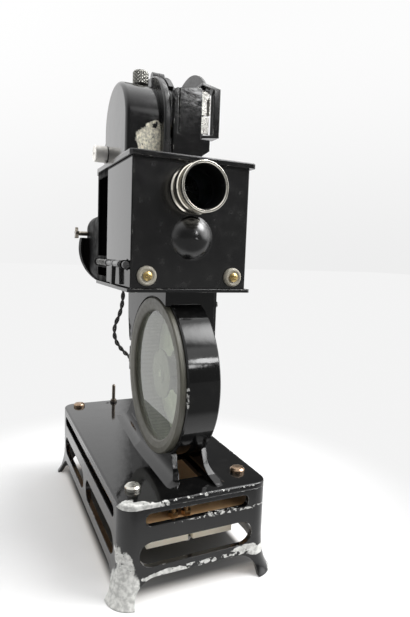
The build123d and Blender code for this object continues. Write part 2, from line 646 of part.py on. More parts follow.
def make_cover_studs():
    studs = []
    for side in (-1, 1):
        x = side * COVER_STUD_X
        stud = rod_y(BOX_FRONT_Y - 2.6, BOX_FRONT_Y + 5.0, x, COVER_STUD_Z, 1.5)
        crown = BOX_FRONT_Y - 1.9
        head = [(0, crown - 1.9), (1.4, crown - 1.7), (2.6, crown - 0.9), (2.6, crown), (0, crown)]
        stud += turned_y(head, x, COVER_STUD_Z)
        stud -= block(x - 3, x + 3, crown - 2.4, crown - 1.2, COVER_STUD_Z - 0.3, COVER_STUD_Z + 0.3)
        studs.append(stud)
    return Compound(studs)


def clipped_plan(half, front, rear, nick):
    """A plate's plan with nicked front corners and long clipped rear corners."""
    points = [(-half, front + nick), (-half + nick, front), (half - nick, front), (half, front + nick),
              (half, rear - 11.2), (half - 2.4, rear), (-half + 2.4, rear), (-half, rear - 11.2)]
    return outline(*points)


def make_bottom_plate():
    plate = plate_z(clipped_plan(37.4, -71.2, 16.0, 1.5), NECK_TOP, BOX_BOTTOM)
    plate -= block(-6.0, 6.0, FILM_Y - 5, FILM_Y + 5, NECK_TOP - 1, BOX_BOTTOM + 1)
    belt_slot = Pos(BELT_X, -18.0) * RectangleRounded(4.6, 30.0, 2.0)
    return plate - plate_z(belt_slot, NECK_TOP - 1, BOX_BOTTOM + 1)


def make_top_plate():
    """The lid: a tray turned down over the box, slotted for the cassette."""
    lid = plate_z(clipped_plan(37.6, -71.5, 16.2, 1.5), LID_BOTTOM, LID_TOP)
    lid = fillet(lid.edges().group_by(Axis.Z)[-1], 0.8)
    lid -= block(-BOX_HALF_X - 0.3, BOX_HALF_X + 0.3, BOX_FRONT_Y - 0.3, BOX_REAR_Y + 0.3,
                 LID_BOTTOM - 1, BOX_TOP + 0.1)
    lid -= rod_y(-80, -60, 0, LENS_Z, SLEEVE_RADIUS + 1.3)
    return lid - block(-6.4, 6.4, HUB_Y - 17.0, HUB_Y + 17.0, LID_BOTTOM - 1, LID_TOP + 1)


def make_latch_rod():
    """Stepped rod that slides in the box's two ears, with a grip in front."""
    rod = rod_y(-69.4, -0.8, LATCH_X, LATCH_Z, 1.5)
    for low, high, radius in ((-69.4, -66.6, 1.95), (-58.2, -47.0, 1.9), (-29.4, -27.8, 1.95)):
        rod += rod_y(low, high, LATCH_X, LATCH_Z, radius)
    return rod


def make_latch_spring():
    """Return spring round the rear of the latch rod, between its collar and the rear ear."""
    return rod_y(-27.4, -4.3, LATCH_X, LATCH_Z, 1.95) - rod_y(-30, 0, LATCH_X, LATCH_Z, 1.6)


def make_latch_lever():
    lever = rod_y(-46.0, -41.8, LATCH_X, LATCH_Z, 1.95)
    tip = BOX_BOTTOM + 0.6
    arm = outline((LATCH_X - 1.6, LATCH_Z - 1.0), (LATCH_X + 0.8, LATCH_Z - 1.0), (LATCH_X + 0.4, tip),
                  (LATCH_X - 1.8, tip))
    lever += plate_y(arm, -45.4, -42.4)
    return lever - rod_y(-50, -40, LATCH_X, LATCH_Z, 1.5)


# Optics


def make_lens_flange():
    bore = TUBE_RADIUS + RUNNING_GAP
    neck = SLEEVE_RADIUS - 0.3
    bead = SLEEVE_RADIUS + 0.2
    base = SLEEVE_RADIUS + 0.5
    profile = [(bore, -77.6), (neck, -77.6), (bead, -76.9), (bead, -75.9), (neck, -75.2), (neck, -70.2),
               (base, -69.4), (base, BOX_FRONT_Y), (SLEEVE_RADIUS - 0.05, BOX_FRONT_Y),
               (SLEEVE_RADIUS - 0.05, -61.0), (bore, -61.0)]
    return turned_y(profile, 0, LENS_Z)


def make_lens_tube():
    front = TUBE_FRONT_Y
    profile = [(TUBE_BORE, TUBE_REAR_Y), (TUBE_RADIUS, TUBE_REAR_Y), (TUBE_RADIUS, front + 2.0),
               (COLLAR_RADIUS - 0.2, front + 1.9), (COLLAR_RADIUS, front + 1.5), (COLLAR_RADIUS, front + 0.4),
               (COLLAR_RADIUS - 0.4, front), (LENS_MOUTH + 0.8, front), (LENS_MOUTH + 0.4, front + 0.4),
               (LENS_MOUTH, front + 1.2), (LENS_MOUTH, -69.0), (TUBE_BORE, -69.0)]
    return turned_y(profile, 0, LENS_Z)


def make_lens_glass():
    """Front and rear elements of the projection lens, each curved on its front."""
    edge = TUBE_BORE - 0.1
    front = domed_y(edge, -65.2, -1.7, -63.2, 0, LENS_Z)
    rear = domed_y(edge, -56.0, 1.4, -57.6, 0, LENS_Z)
    return Compound([front, rear])


def make_gate_plate():
    gate = block(-11.0, 11.0, FILM_Y + 0.6, FILM_Y + 2.2, BOX_BOTTOM + 0.3, 232.6)
    for side in (-1, 1):
        ends = sorted((side * 4.95, side * 6.2))
        gate += block(*ends, FILM_Y - 0.3, FILM_Y + 0.6, 190.0, 232.6)
    gate -= block(-4.25, 4.25, FILM_Y, FILM_Y + 3, LENS_Z - 3.25, LENS_Z + 3.25)
    return gate - block(-1.6, 1.6, FILM_Y, FILM_Y + 3, CLAW_PIVOT_Z - 5, CLAW_PIVOT_Z + 4)


def make_pressure_plate():
    plate = block(-7.4, 7.4, FILM_Y - 1.8, FILM_Y - 0.6, 212.4, 231.6)
    plate -= block(-4.6, 4.6, FILM_Y - 3, FILM_Y, LENS_Z - 3.6, LENS_Z + 3.6)
    for side in (-1, 1):
        ends = sorted((side * 7.4, side * 30.0))
        plate += block(*ends, FILM_Y - 1.8, FILM_Y - 1.2, 226.4, 230.4)
    return plate


def make_condenser():
    return domed_y(8.9, 6.6, -3.0, 8.6, 0, LENS_Z)


def make_condenser_ring():
    """Cell for the condenser, set in the box's back wall."""
    profile = [(8.95, 5.6), (10.2, 5.6), (10.2, BOX_REAR_Y), (11.0, BOX_REAR_Y), (11.0, BOX_REAR_Y + 1.3),
               (8.0, BOX_REAR_Y + 1.3), (8.0, 8.65), (8.95, 8.65)]
    return turned_y(profile, 0, LENS_Z)


# Gear train


def tooth_half(radius, pitch_radius):
    """Half of a tooth's thickness at a radius."""
    return TOOTH_SHARE * math.pi * MODULE / 2 - (radius - pitch_radius) * PRESSURE_SLOPE


def gear_face(teeth, turn, tip_rise=ADDENDUM, root_drop=DEDENDUM):
    """A toothed disc drawn flat, with a tooth centred at the given turn in degrees."""
    pitch_radius = MODULE * teeth / 2
    root = pitch_radius - root_drop
    tip = pitch_radius + tip_rise
    root_half = tooth_half(pitch_radius - DEDENDUM, pitch_radius) / root
    tip_half = tooth_half(pitch_radius + ADDENDUM, pitch_radius) / tip
    points = []
    for index in range(teeth):
        centre = math.radians(turn) + index * 2 * math.pi / teeth
        for radius, angle in ((root, -root_half), (tip, -tip_half), (tip, tip_half), (root, root_half)):
            points.append((radius * math.cos(centre + angle), radius * math.sin(centre + angle)))
    return outline(*points)


def spur_gear(teeth, y, z, x0, x1, turn):
    return plate_x(Pos(y, z) * gear_face(teeth, turn), x0, x1)


def mitre_gear():
    """A 45 degree bevel gear about +Z with its cone's point at the origin."""
    pitch = MITRE_RADIUS
    reach = pitch * math.sqrt(2)
    tip = pitch * math.tan(math.radians(45) + math.atan(ADDENDUM / reach))
    root = pitch * math.tan(math.radians(45) - math.atan(DEDENDUM / reach))
    big = gear_face(MITRE_TEETH, 0.0, tip - pitch, pitch - root)
    inner = 0.64
    small = scale(big, by=inner)
    teeth = loft([Plane.XY.offset(pitch) * big, Plane.XY.offset(inner * pitch) * small], ruled=True)
    hub = Pos(0, 0, pitch + 1.2) * Cylinder(root - 0.4, 2.4)
    return teeth + hub


def bearing_to(y0, z0, y1, z1):
    """Angle in degrees from one shaft centre to another, in the Y and Z plane."""
    return math.degrees(math.atan2(z1 - z0, y1 - y0))


def make_crank_shaft():
    shaft = rod_x(37.6, 47.0, CRANK_Y, CRANK_Z, CRANK_END)
    shaft = chamfer(shaft.edges().filter_by(GeomType.CIRCLE).group_by(Axis.X)[-1], 0.5)
    shaft += rod_x(13.2, 37.6, CRANK_Y, CRANK_Z, CRANK_SHAFT)
    groove = [(0, BELT_X - 1.9), (CRANK_PULLEY, BELT_X - 1.9), (CRANK_PULLEY - 1.6, BELT_X),
              (CRANK_PULLEY, BELT_X + 1.9), (0, BELT_X + 1.9)]
    return shaft + turned_x(groove, CRANK_Y, CRANK_Z) + rod_x(26.6, 28.0, CRANK_Y, CRANK_Z, 4.6)


def make_crank_gear():
    to_main = bearing_to(CRANK_Y, CRANK_Z, MAIN_Y, MAIN_Z)
    gear = spur_gear(GEAR_TEETH, CRANK_Y, CRANK_Z, 18.4, 21.0, to_main)
    for hole in range(5):
        angle = math.radians(hole * 72)
        hole_y = CRANK_Y + 11.4 * math.cos(angle)
        hole_z = CRANK_Z + 11.4 * math.sin(angle)
        gear -= rod_x(17, 23, hole_y, hole_z, 3.8)
    gear += rod_x(21.0, 23.2, CRANK_Y, CRANK_Z, 5.6)
    return gear - rod_x(10, 30, CRANK_Y, CRANK_Z, CRANK_SHAFT)


def make_crank_bush():
    profile = [(CRANK_SHAFT + RUNNING_GAP, 31.6), (4.95, 31.6), (4.95, BOX_HALF_X), (6.8, BOX_HALF_X),
               (6.8, BOX_HALF_X + 1.2), (5.0, BOX_HALF_X + 2.4), (CRANK_SHAFT + RUNNING_GAP, BOX_HALF_X + 2.4)]
    return turned_x(profile, CRANK_Y, CRANK_Z)


def make_main_shaft():
    """Main shaft with its pinion and the two-lobed claw cam."""
    to_crank = bearing_to(MAIN_Y, MAIN_Z, CRANK_Y, CRANK_Z)
    shaft = rod_x(-18.6, 25.6, MAIN_Y, MAIN_Z, MAIN_SHAFT)
    shaft += spur_gear(PINION_TEETH, MAIN_Y, MAIN_Z, 17.6, 21.8, to_crank + 180 / PINION_TEETH)
    lobes = Pos(MAIN_Y, MAIN_Z) * Ellipse(4.9, 3.6)
    return shaft + plate_x(lobes, CAM_X - 1.1, CAM_X + 1.1)


def make_main_bevel():
    bevel = Pos(0, MAIN_Y, MAIN_Z) * Rot(0, 90, 0) * mitre_gear()
    return bevel - rod_x(-5, 15, MAIN_Y, MAIN_Z, MAIN_SHAFT)


def make_shutter_shaft():
    """Shutter shaft along Y, with the mating bevel pinned on its rear end."""
    half_pitch = 180 / MITRE_TEETH
    bevel = Pos(0, MAIN_Y, MAIN_Z) * Rot(90, 0, 0) * Rot(0, 0, half_pitch) * mitre_gear()
    bevel -= rod_y(MAIN_Y - 3.2, MAIN_Y + 5, 0, MAIN_Z, MITRE_RADIUS)
    return bevel + rod_y(BOX_FRONT_Y - 1.8, MAIN_Y - 4.2, 0, MAIN_Z, MAIN_SHAFT)


def make_shutter_disc():
    """Two-bladed shutter with a turned boss."""
    disc = Pos(0, MAIN_Z) * Circle(SHUTTER_RADIUS)
    for side in (0, 180):
        reach = SHUTTER_RADIUS + 4
        corners = []
        for radius, turn in ((10, -42), (reach, -42), (1.3 * reach, 0), (reach, 42), (10, 42)):
            angle = math.radians(side + turn)
            corners.append((radius * math.cos(angle), radius * math.sin(angle)))
        gap = outline(*corners)
        disc -= Pos(0, MAIN_Z) * gap
    blades = plate_y(disc, SHUTTER_Y - 0.4, SHUTTER_Y + 0.4)
    boss = rod_y(SHUTTER_Y - 2.6, SHUTTER_Y + 0.4, 0, MAIN_Z, 5.0)
    return blades + boss - rod_y(SHUTTER_Y - 5, SHUTTER_Y + 5, 0, MAIN_Z, MAIN_SHAFT)


def make_claw_arm():
    """Flat arm on a pivot pin, with a yoke round the cam and a bent tip for the film."""
    arm = Pos(MAIN_Y, MAIN_Z) * Circle(8.0)
    arm += Pos(CLAW_PIVOT_Y, CLAW_PIVOT_Z) * Circle(2.9)
    arm += outline((CLAW_PIVOT_Y - 1.0, CLAW_PIVOT_Z + 2.6), (FILM_Y - 3.2, 206.0), (FILM_Y - 3.2, 203.4),
                   (MAIN_Y + 6.5, MAIN_Z + 4.0), (MAIN_Y - 7.6, MAIN_Z + 1.0),
                   (CLAW_PIVOT_Y - 2.8, CLAW_PIVOT_Z - 0.4))
    arm -= Pos(MAIN_Y, MAIN_Z) * Circle(6.0)
    arm -= Pos(CLAW_PIVOT_Y, CLAW_PIVOT_Z) * Circle(1.25)
    claw = plate_x(arm, CAM_X - 0.6, CAM_X + 0.6)
    claw += block(CAM_X - 0.6, 0.7, FILM_Y - 4.4, FILM_Y - 3.2, 203.6, 205.8)
    return claw + block(-0.6, 0.7, FILM_Y - 3.3, FILM_Y + 0.2, 204.2, 205.2)


def make_mechanism_frame():
    """Cast bracket that holds every shaft inside the box."""
    frame = block(-20.0, 26.0, -43.0, -35.6, BOX_BOTTOM, BOX_BOTTOM + 3.0)
    left = outline((-43.0, BOX_BOTTOM), (-35.6, BOX_BOTTOM), (-26.5, MAIN_Z - 4), (-26.5, MAIN_Z + 4),
                   (-37.0, CLAW_PIVOT_Z + 3.5), (-43.0, CLAW_PIVOT_Z + 3.5))
    frame += plate_x(left, -20.0, -17.2)
    right = outline((-43.0, BOX_BOTTOM), (-35.6, BOX_BOTTOM), (-2.0, CRANK_Z - 8), (-2.0, CRANK_Z + 6),
                    (-26.0, MAIN_Z + 5), (-43.0, MAIN_Z + 5))
    frame += plate_x(right, 23.6, 26.0)
    web = outline((-8.0, BOX_BOTTOM), (8.0, BOX_BOTTOM), (5.0, MAIN_Z + 5), (-5.0, MAIN_Z + 5))
    frame += plate_y(web, -43.0, -41.4)
    frame += rod_x(-17.4, CAM_X + 2.0, CLAW_PIVOT_Y, CLAW_PIVOT_Z, 1.2)
    frame -= rod_x(-21, 27, MAIN_Y, MAIN_Z, MAIN_SHAFT + RUNNING_GAP)
    frame -= rod_x(22, 27, CRANK_Y, CRANK_Z, CRANK_SHAFT + RUNNING_GAP)
    return frame - rod_y(-44, -40, 0, MAIN_Z, MAIN_SHAFT + RUNNING_GAP)


# Film head and rewind gear


def disc_on_lid(radius, centre_y, centre_z, x0, x1):
    """A disc across X whose lower part is cut off flat on the lid."""
    return rod_x(x0, x1, centre_y, centre_z, radius) & block(-60, 60, -120, 60, LID_TOP, 320)


def arch_on_lid(radius, centre_y, centre_z, low):
    """A round-topped outline with straight sides, drawn in Y and Z down to a height."""
    sides = Pos(centre_y, (centre_z + low) / 2) * Rectangle(2 * radius, centre_z - low)
    top = Pos(centre_y, centre_z) * Circle(radius)
    top &= Pos(centre_y, low + 100) * Rectangle(200, 200)
    return sides + top


def make_rewind_housing():
    """Round-topped cover of the rewind gears, open underneath and towards the cassette."""
    outer = plate_x(arch_on_lid(HOUSING_RADIUS, HUB_Y, HOUSING_Z, LID_TOP), HOUSING_LEFT, HOUSING_RIGHT)
    left_rim = [edge for edge in outer.edges().group_by(Axis.X)[0] if edge.center().Z > LID_TOP + 1]
    outer = fillet(left_rim, 2.2)
    cavity = plate_x(arch_on_lid(HOUSING_RADIUS - HOUSING_WALL, HUB_Y, HOUSING_Z, LID_TOP - 2),
                     HOUSING_LEFT + HOUSING_WALL, HOUSING_RIGHT + 1)
    housing = outer + rod_x(HOUSING_LEFT, -24.0, REWIND_Y, REWIND_Z, 7.8)
    housing &= block(-60, 60, -120, 60, LID_TOP, 320)
    housing -= cavity + rod_x(-31.2, -25.0, REWIND_Y, REWIND_Z, 6.1)
    housing -= rod_x(HOUSING_LEFT - 1, -30, REWIND_Y, REWIND_Z, MAIN_SHAFT + RUNNING_GAP)
    housing -= rod_x(HOUSING_LEFT + 0.9, -30, HUB_Y, HUB_Z, TAKEUP_SHAFT + RUNNING_GAP)
    return housing - rod_z(270, 290, KNOB_X, KNOB_Y, 1.55)


def arm_point(radius, angle):
    turned = math.radians(angle)
    return HUB_Y + radius * math.cos(turned), HUB_Z + radius * math.sin(turned)


def make_cassette_flange():
    """Thick round-topped plate beside the cassette, with the clamp arm's lug on its top."""
    flange = plate_x(arch_on_lid(FLANGE_RADIUS, HUB_Y, HUB_Z, LID_TOP), FLANGE_LEFT, FLANGE_RIGHT)
    faces = flange.edges().group_by(Axis.X)
    flange = fillet([edge for edge in faces[0] + faces[-1] if edge.center().Z > LID_TOP + 1], 1.2)
    pivot_y, pivot_z = arm_point(ARM_PIVOT_RADIUS, ARM_PIVOT_ANGLE)
    flange += rod_x(FLANGE_LEFT + 0.6, FLANGE_RIGHT, pivot_y, pivot_z, ARM_KNUCKLE)
    flange += rod_x(FLANGE_RIGHT - 0.2, ARM_RIGHT - 0.2, pivot_y, pivot_z, 1.2)
    return flange - rod_x(FLANGE_LEFT - 1, FLANGE_RIGHT + 1, HUB_Y, HUB_Z, 4.05)


def make_clamp_arm():
    """Curved arm on the flange's lug that closes over the film cassette's rim."""
    arm = Pos(HUB_Y, HUB_Z) * (Circle(29.4) - Circle(26.6))
    wedge = outline((HUB_Y, HUB_Z), arm_point(60, ARM_PIVOT_ANGLE), arm_point(80, 118), arm_point(60, 139))
    arm &= wedge
    pivot_y, pivot_z = arm_point(ARM_PIVOT_RADIUS, ARM_PIVOT_ANGLE)
    arm += Pos(pivot_y, pivot_z) * Circle(ARM_KNUCKLE)
    arm -= Pos(pivot_y, pivot_z) * Circle(1.25)
    return plate_x(arm, FLANGE_RIGHT + 0.2, ARM_RIGHT)


def make_rewind_gear():
    """Large rewind gear with its shaft and the hub that faces the cassette."""
    to_pinion = bearing_to(HUB_Y, HUB_Z, REWIND_Y, REWIND_Z)
    gear = spur_gear(GEAR_TEETH, HUB_Y, HUB_Z, -29.4, -26.8, to_pinion)
    gear += rod_x(HOUSING_LEFT + 1.3, -11.0, HUB_Y, HUB_Z, TAKEUP_SHAFT)
    gear += rod_x(-26.8, -24.0, HUB_Y, HUB_Z, 5.4)
    return gear + rod_x(FLANGE_LEFT + 0.6, -6.6, HUB_Y, HUB_Z, 4.0)


def make_rewind_spindle():
    """Nickel tube outside, shaft through the wall and pinion inside."""
    to_hub = bearing_to(REWIND_Y, REWIND_Z, HUB_Y, HUB_Z)
    end = REWIND_END
    profile = [(0, end - 0.7), (0.8, end - 0.6), (0.9, end + 0.1), (3.9, end + 0.3), (4.2, end),
               (REWIND_RADIUS - 0.4, end), (REWIND_RADIUS, end + 0.4), (REWIND_RADIUS, HOUSING_LEFT - 0.3),
               (MAIN_SHAFT, HOUSING_LEFT - 0.3), (MAIN_SHAFT, -25.6), (0, -25.6)]
    tube = turned_x(profile, REWIND_Y, REWIND_Z)
    return tube + spur_gear(PINION_TEETH, REWIND_Y, REWIND_Z, -30.0, -26.2, to_hub + 180 / PINION_TEETH)


def make_knurled_knob():
    """Clamp knob with a knurled side and a domed top, screwed in from the housing's top."""
    knurl = []
    for index in range(48):
        radius = 4.6 if index % 2 else 4.3
        angle = index * 2 * math.pi / 48
        knurl.append((radius * math.cos(angle), radius * math.sin(angle)))
    side_top = KNOB_LOW + 6.6
    head = plate_z(Pos(KNOB_X, KNOB_Y) * outline(*knurl), KNOB_LOW, side_top)
    crown = [(4.3, side_top), (3.9, side_top + 0.8), (2.6, side_top + 1.3), (0, side_top + 1.5),
             (0, side_top - 1), (4.3, side_top - 1)]
    head += turned_z(crown, KNOB_X, KNOB_Y)
    return head + rod_z(279.4, KNOB_LOW + 0.5, KNOB_X, KNOB_Y, 1.5)


def make_film_cassette():
    profile = [(4.6, -CASSETTE_HALF), (7.0, -CASSETTE_HALF), (7.0, -4.9), (21.5, -4.9), (22.4, -CASSETTE_HALF),
               (24.4, -CASSETTE_HALF), (CASSETTE_RADIUS, -4.9), (CASSETTE_RADIUS, 4.9),
               (24.4, CASSETTE_HALF), (22.4, CASSETTE_HALF), (21.5, 4.9), (7.0, 4.9),
               (7.0, CASSETTE_HALF), (4.6, CASSETTE_HALF)]
    return turned_x(profile, HUB_Y, HUB_Z)


def make_cassette_backplate():
    """Plain disc on the far side of the cassette, with a foot that lies on the lid."""
    plate = disc_on_lid(BACKPLATE_RADIUS, HUB_Y - 0.9, HUB_Z + 2.5, BACKPLATE_X, BACKPLATE_X + 1.4)
    plate += block(BACKPLATE_X, BACKPLATE_X + 8, HUB_Y - 12, HUB_Y + 12, LID_TOP, LID_TOP + 1.4)
    return plate - block(6, 20, -70, HEAD_FRONT_Y + HEAD_FRAME_DEPTH + 0.3, LID_TOP, 282.0)


def make_film_head():
    """Cast block in front of the cassette, with a sloping foot on the lid."""
    body = outline((-10.8, LID_TOP), (3.9, LID_TOP), (11.2, 244.4), (11.2, 250.6), (5.6, 250.6),
                   (5.6, 277.0), (4.4, 278.2), (-9.6, 276.0), (-10.8, 274.8))
    head = plate_y(body, HEAD_FRONT_Y, HEAD_REAR_Y)
    head += block(-9.0, 3.9, HEAD_REAR_Y - 0.1, HEAD_REAR_Y + 6.0, LID_TOP, LID_TOP + 2.0)
    return head - block(-8.4, -7.6, HEAD_FRONT_Y - 1, HEAD_FRONT_Y + 0.8, 252.0, 276.5)


def make_head_frame():
    """Open sheet frame beside the head: a side, a top and a bottom."""
    path = outline((5.6, 251.0), (16.8, 252.4), (16.8, 279.2), (5.6, 281.2), (5.6, 279.7), (15.1, 277.9),
                   (15.1, 253.8), (5.6, 252.5))
    frame = plate_y(path, HEAD_FRONT_Y, HEAD_FRONT_Y + HEAD_FRAME_DEPTH)
    inner = block(13.2, 15.4, HEAD_FRONT_Y, HEAD_FRONT_Y + 1.2, 253.2, 278.6)
    return frame + inner


def make_guide_plates():
    """Two nickel guides, one above the other, that lead the film off the cassette."""
    upper = block(5.7, 11.4, HEAD_FRONT_Y + 3.2, HEAD_FRONT_Y + 4.0, 264.4, 278.2)
    upper += block(10.8, 11.4, HEAD_FRONT_Y + 1.4, HEAD_FRONT_Y + 4.0, 264.4, 274.0)
    lower = block(5.7, 11.0, HEAD_FRONT_Y + 2.2, HEAD_FRONT_Y + 3.0, 254.0, 263.4)
    return Compound([upper, lower])


# Lamp house


def hood_sections(wall):
    """Sections of the hood from the box to its rear rim, drawn in by the wall."""
    rows = ((BOX_REAR_Y, 30.0, 170.0, 235.4, 10.0), (53.0, 25.4, 163.4, 217.6, 11.5),
            (RIM_FRONT_Y, RIM_SHOULDER, 161.4, HOOD_TOP, 11.5))
    sections = []
    for y, half, low, high, corner in rows:
        plan = RectangleRounded(2 * (half - wall), high - low - 2 * wall, corner - wall)
        sections.append(Plane.XZ.offset(-y) * Pos(0, (low + high) / 2) * plan)
    return sections


def make_lamp_house():
    """Tapered sheet hood with a cast rear rim: round below, shouldered above."""
    hood = loft(hood_sections(0.0), ruled=True) - loft(hood_sections(1.6), ruled=True)
    below = Pos(0, RIM_Z - 28) * Rectangle(80, 72)
    shoulders = Pos(0, (HOOD_TOP + 170) / 2) * RectangleRounded(2 * RIM_SHOULDER, HOOD_TOP - 170, 11.5)
    rim = Pos(0, RIM_Z) * Circle(RIM_OUTER) & below
    bead = rim - Pos(0, RIM_Z) * Circle(RIM_OUTER - 1.8)
    bore = Pos(0, RIM_Z) * Circle(RIM_BORE)
    hood += plate_y(rim + shoulders - bore, RIM_FRONT_Y - 1.5, RIM_REAR_Y)
    hood += plate_y(bead, RIM_FRONT_Y - 2.7, RIM_FRONT_Y - 1.5)
    hood += rod_z(160.0, 170.0, -12.0, 29.0, 3.4)
    hood -= rod_z(160.0 + 3.0, 172.0, -12.0, 29.0, 1.7)
    return hood - rod_x(-40, -10, STAR_Y, STAR_Z, 1.25)


def make_lamp_cap():
    """Dished cap in the hood's rim, with a ring of vent slots."""
    profile = [(0, 96.6), (7.0, 96.4), (17.0, 94.8), (RIM_BORE - 0.3, 94.6), (RIM_BORE - 0.3, 90.6),
               (20.6, 90.6), (20.6, 93.2), (16.8, 93.4), (7.0, 95.0), (0, 95.2)]
    cap = turned_y(profile, 0, RIM_Z)
    for index in range(8):
        slot = Rot(0, index * 45, 0) * block(9.5, 16.5, 80, 110, -1.3, 1.3)
        cap -= Pos(0, 0, RIM_Z) * slot
    return cap


def make_star_screw():
    """Thumb screw with a five-armed head that holds the cap in the rim."""
    arms = []
    for index in range(10):
        radius = 4.9 if index % 2 == 0 else 1.9
        angle = index * math.pi / 5 + 0.3
        arms.append((STAR_Y + radius * math.cos(angle), STAR_Z + radius * math.sin(angle)))
    head = plate_x(outline(*arms), -35.8, -33.4)
    collar = rod_x(-33.6, -RIM_SHOULDER - 0.3, STAR_Y, STAR_Z, 1.8)
    return head + collar + rod_x(-RIM_SHOULDER - 0.5, -19.5, STAR_Y, STAR_Z, 1.2)


def make_lamp_socket():
    bracket = block(-9.0, 9.0, BOX_REAR_Y, BOX_REAR_Y + 1.4, 171.8, 186.0)
    bracket += block(-9.0, 9.0, BOX_REAR_Y, LAMP_Y + 9.0, 171.8, 173.4)
    shell = [(0, 173.4), (7.6, 173.4), (7.6, 183.0), (8.2, 183.6), (8.2, 185.6), (5.7, 185.6),
             (5.7, 176.0), (0, 176.0)]
    return bracket + turned_z(shell, 0, LAMP_Y)


def make_lamp_bulb():
    """Round-topped lamp with its bayonet base."""
    rise = cap_arc(9.0, 213.6, 9.0) + Polyline((0, 222.6), (0, 187.0), (5.6, 187.0), (9.0, 193.0), (9.0, 213.6))
    envelope = revolve(Plane.XZ * make_face(rise), axis=Axis.Z)
    return rod_z(176.0, 187.0, 0, LAMP_Y, 5.6) + Pos(0, LAMP_Y, 0) * envelope


def make_lamp_flex():
    """The flex as one round tube: straight runs joined by the largest arcs they allow."""
    points = [Vector(*point) for point in FLEX_ROUTE]
    radii = []
    for before, corner, after in zip(points, points[1:], points[2:]):
        arriving = corner - before
        leaving = after - corner
        turn = math.radians(arriving.get_angle(leaving))
        radii.append(0.45 * min(arriving.length, leaving.length) / math.tan(turn / 2))
    print("flex bend radii", [round(radius, 1) for radius in radii])
    path = FilletPolyline(*points, radius=radii)
    section = Plane(points[0], z_dir=points[1] - points[0]) * Circle(FLEX_DIAMETER / 2)
    tube = sweep(section, path=path)
    expected = math.pi * FLEX_DIAMETER ** 2 / 4 * path.length
    print("flex length", round(path.length, 1), "volume ratio", round(tube.volume / expected, 4))
    return tube


PIECES = {
    "base_frame": make_base_frame,
    "resistor_board": make_resistor_board,
    "resistor_bars": make_resistor_bars,
    "bar_bolts": make_bar_bolts,
    "board_terminals": make_board_terminals,
    "cover_bolts": make_cover_bolts,
    "terminal_pin": make_terminal_pin,
    "cover_bushes": make_cover_bushes,
    "main_casting": make_main_casting,
    "door_bezel": make_door_bezel,
    "door_glass": make_door_glass,
    "door_hinge_pin": make_door_hinge_pin,
    "takeup_core": make_takeup_core,
    "takeup_shaft": make_takeup_shaft,
    "spring_belt": make_spring_belt,
    "side_cover": make_side_cover,
    "side_screws": make_side_screws,
    "mechanism_box": make_mechanism_box,
    "front_cover": make_front_cover,
    "left_panel": make_left_panel,
    "cover_nuts": make_cover_nuts,
    "cover_studs": make_cover_studs,
    "bottom_plate": make_bottom_plate,
    "top_plate": make_top_plate,
    "latch_rod": make_latch_rod,
    "latch_spring": make_latch_spring,
    "latch_lever": make_latch_lever,
    "lens_flange": make_lens_flange,
    "lens_tube": make_lens_tube,
    "lens_glass": make_lens_glass,
    "gate_plate": make_gate_plate,
    "pressure_plate": make_pressure_plate,
    "condenser_lens": make_condenser,
    "condenser_ring": make_condenser_ring,
    "crank_shaft": make_crank_shaft,
    "crank_gear": make_crank_gear,
    "crank_bush": make_crank_bush,
    "main_shaft": make_main_shaft,
    "main_bevel": make_main_bevel,
    "shutter_shaft": make_shutter_shaft,
    "shutter_disc": make_shutter_disc,
    "claw_arm": make_claw_arm,
    "mechanism_frame": make_mechanism_frame,
    "rewind_housing": make_rewind_housing,
    "cassette_flange": make_cassette_flange,
    "clamp_arm": make_clamp_arm,
    "rewind_gear": make_rewind_gear,
    "rewind_spindle": make_rewind_spindle,
    "knurled_knob": make_knurled_knob,
    "film_cassette": make_film_cassette,
    "cassette_backplate": make_cassette_backplate,
    "film_head": make_film_head,
    "head_frame": make_head_frame,
    "guide_plates": make_guide_plates,
    "lamp_house": make_lamp_house,
    "lamp_cap": make_lamp_cap,
    "star_screw": make_star_screw,
    "lamp_socket": make_lamp_socket,
    "lamp_bulb": make_lamp_bulb,
    "lamp_flex": make_lamp_flex,
}

os.makedirs("parts", exist_ok=True)
for node, make in PIECES.items():
    export_step(make(), "parts/" + node + ".step")
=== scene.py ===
"""Looks of the hand-cranked projector: camera, light, materials and the fine pieces around the CAD frame."""

import math

import bpy
from mathutils import Matrix, Vector


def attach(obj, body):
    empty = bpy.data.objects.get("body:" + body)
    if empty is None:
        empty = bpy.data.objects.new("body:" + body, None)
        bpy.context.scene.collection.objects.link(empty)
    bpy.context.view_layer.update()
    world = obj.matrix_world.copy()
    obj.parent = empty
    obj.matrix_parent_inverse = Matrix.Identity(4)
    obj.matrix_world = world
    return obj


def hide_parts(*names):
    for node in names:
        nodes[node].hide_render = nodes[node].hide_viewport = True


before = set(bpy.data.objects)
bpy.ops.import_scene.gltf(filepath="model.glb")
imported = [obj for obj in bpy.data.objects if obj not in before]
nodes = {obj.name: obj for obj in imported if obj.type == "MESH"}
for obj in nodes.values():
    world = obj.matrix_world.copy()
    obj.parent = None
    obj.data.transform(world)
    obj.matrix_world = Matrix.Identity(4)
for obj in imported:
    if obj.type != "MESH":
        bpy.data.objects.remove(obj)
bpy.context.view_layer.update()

# Places on the object, in metres
DRUM = Vector((0.0, -0.0419, 0.1112))
LENS = Vector((0.0, -0.0681, 0.2216))
KNOB = (-0.0217, -0.0344)

# Camera, solved from the photo's own edges: metres, degrees, and millimetres for lens and sensor
CAMERA_PLACE = (-0.10986, -0.3236, 0.18574)
CAMERA_YAW = 25.08
CAMERA_DOWN = 6.25
CAMERA_ROLL = 2.17
CAMERA_LENS = 28.58
CAMERA_SENSOR = 36.0
CAMERA_NEAR = 0.01
CAMERA_FAR = 50.0
PHOTO_WIDTH = 410
PHOTO_HEIGHT = 617


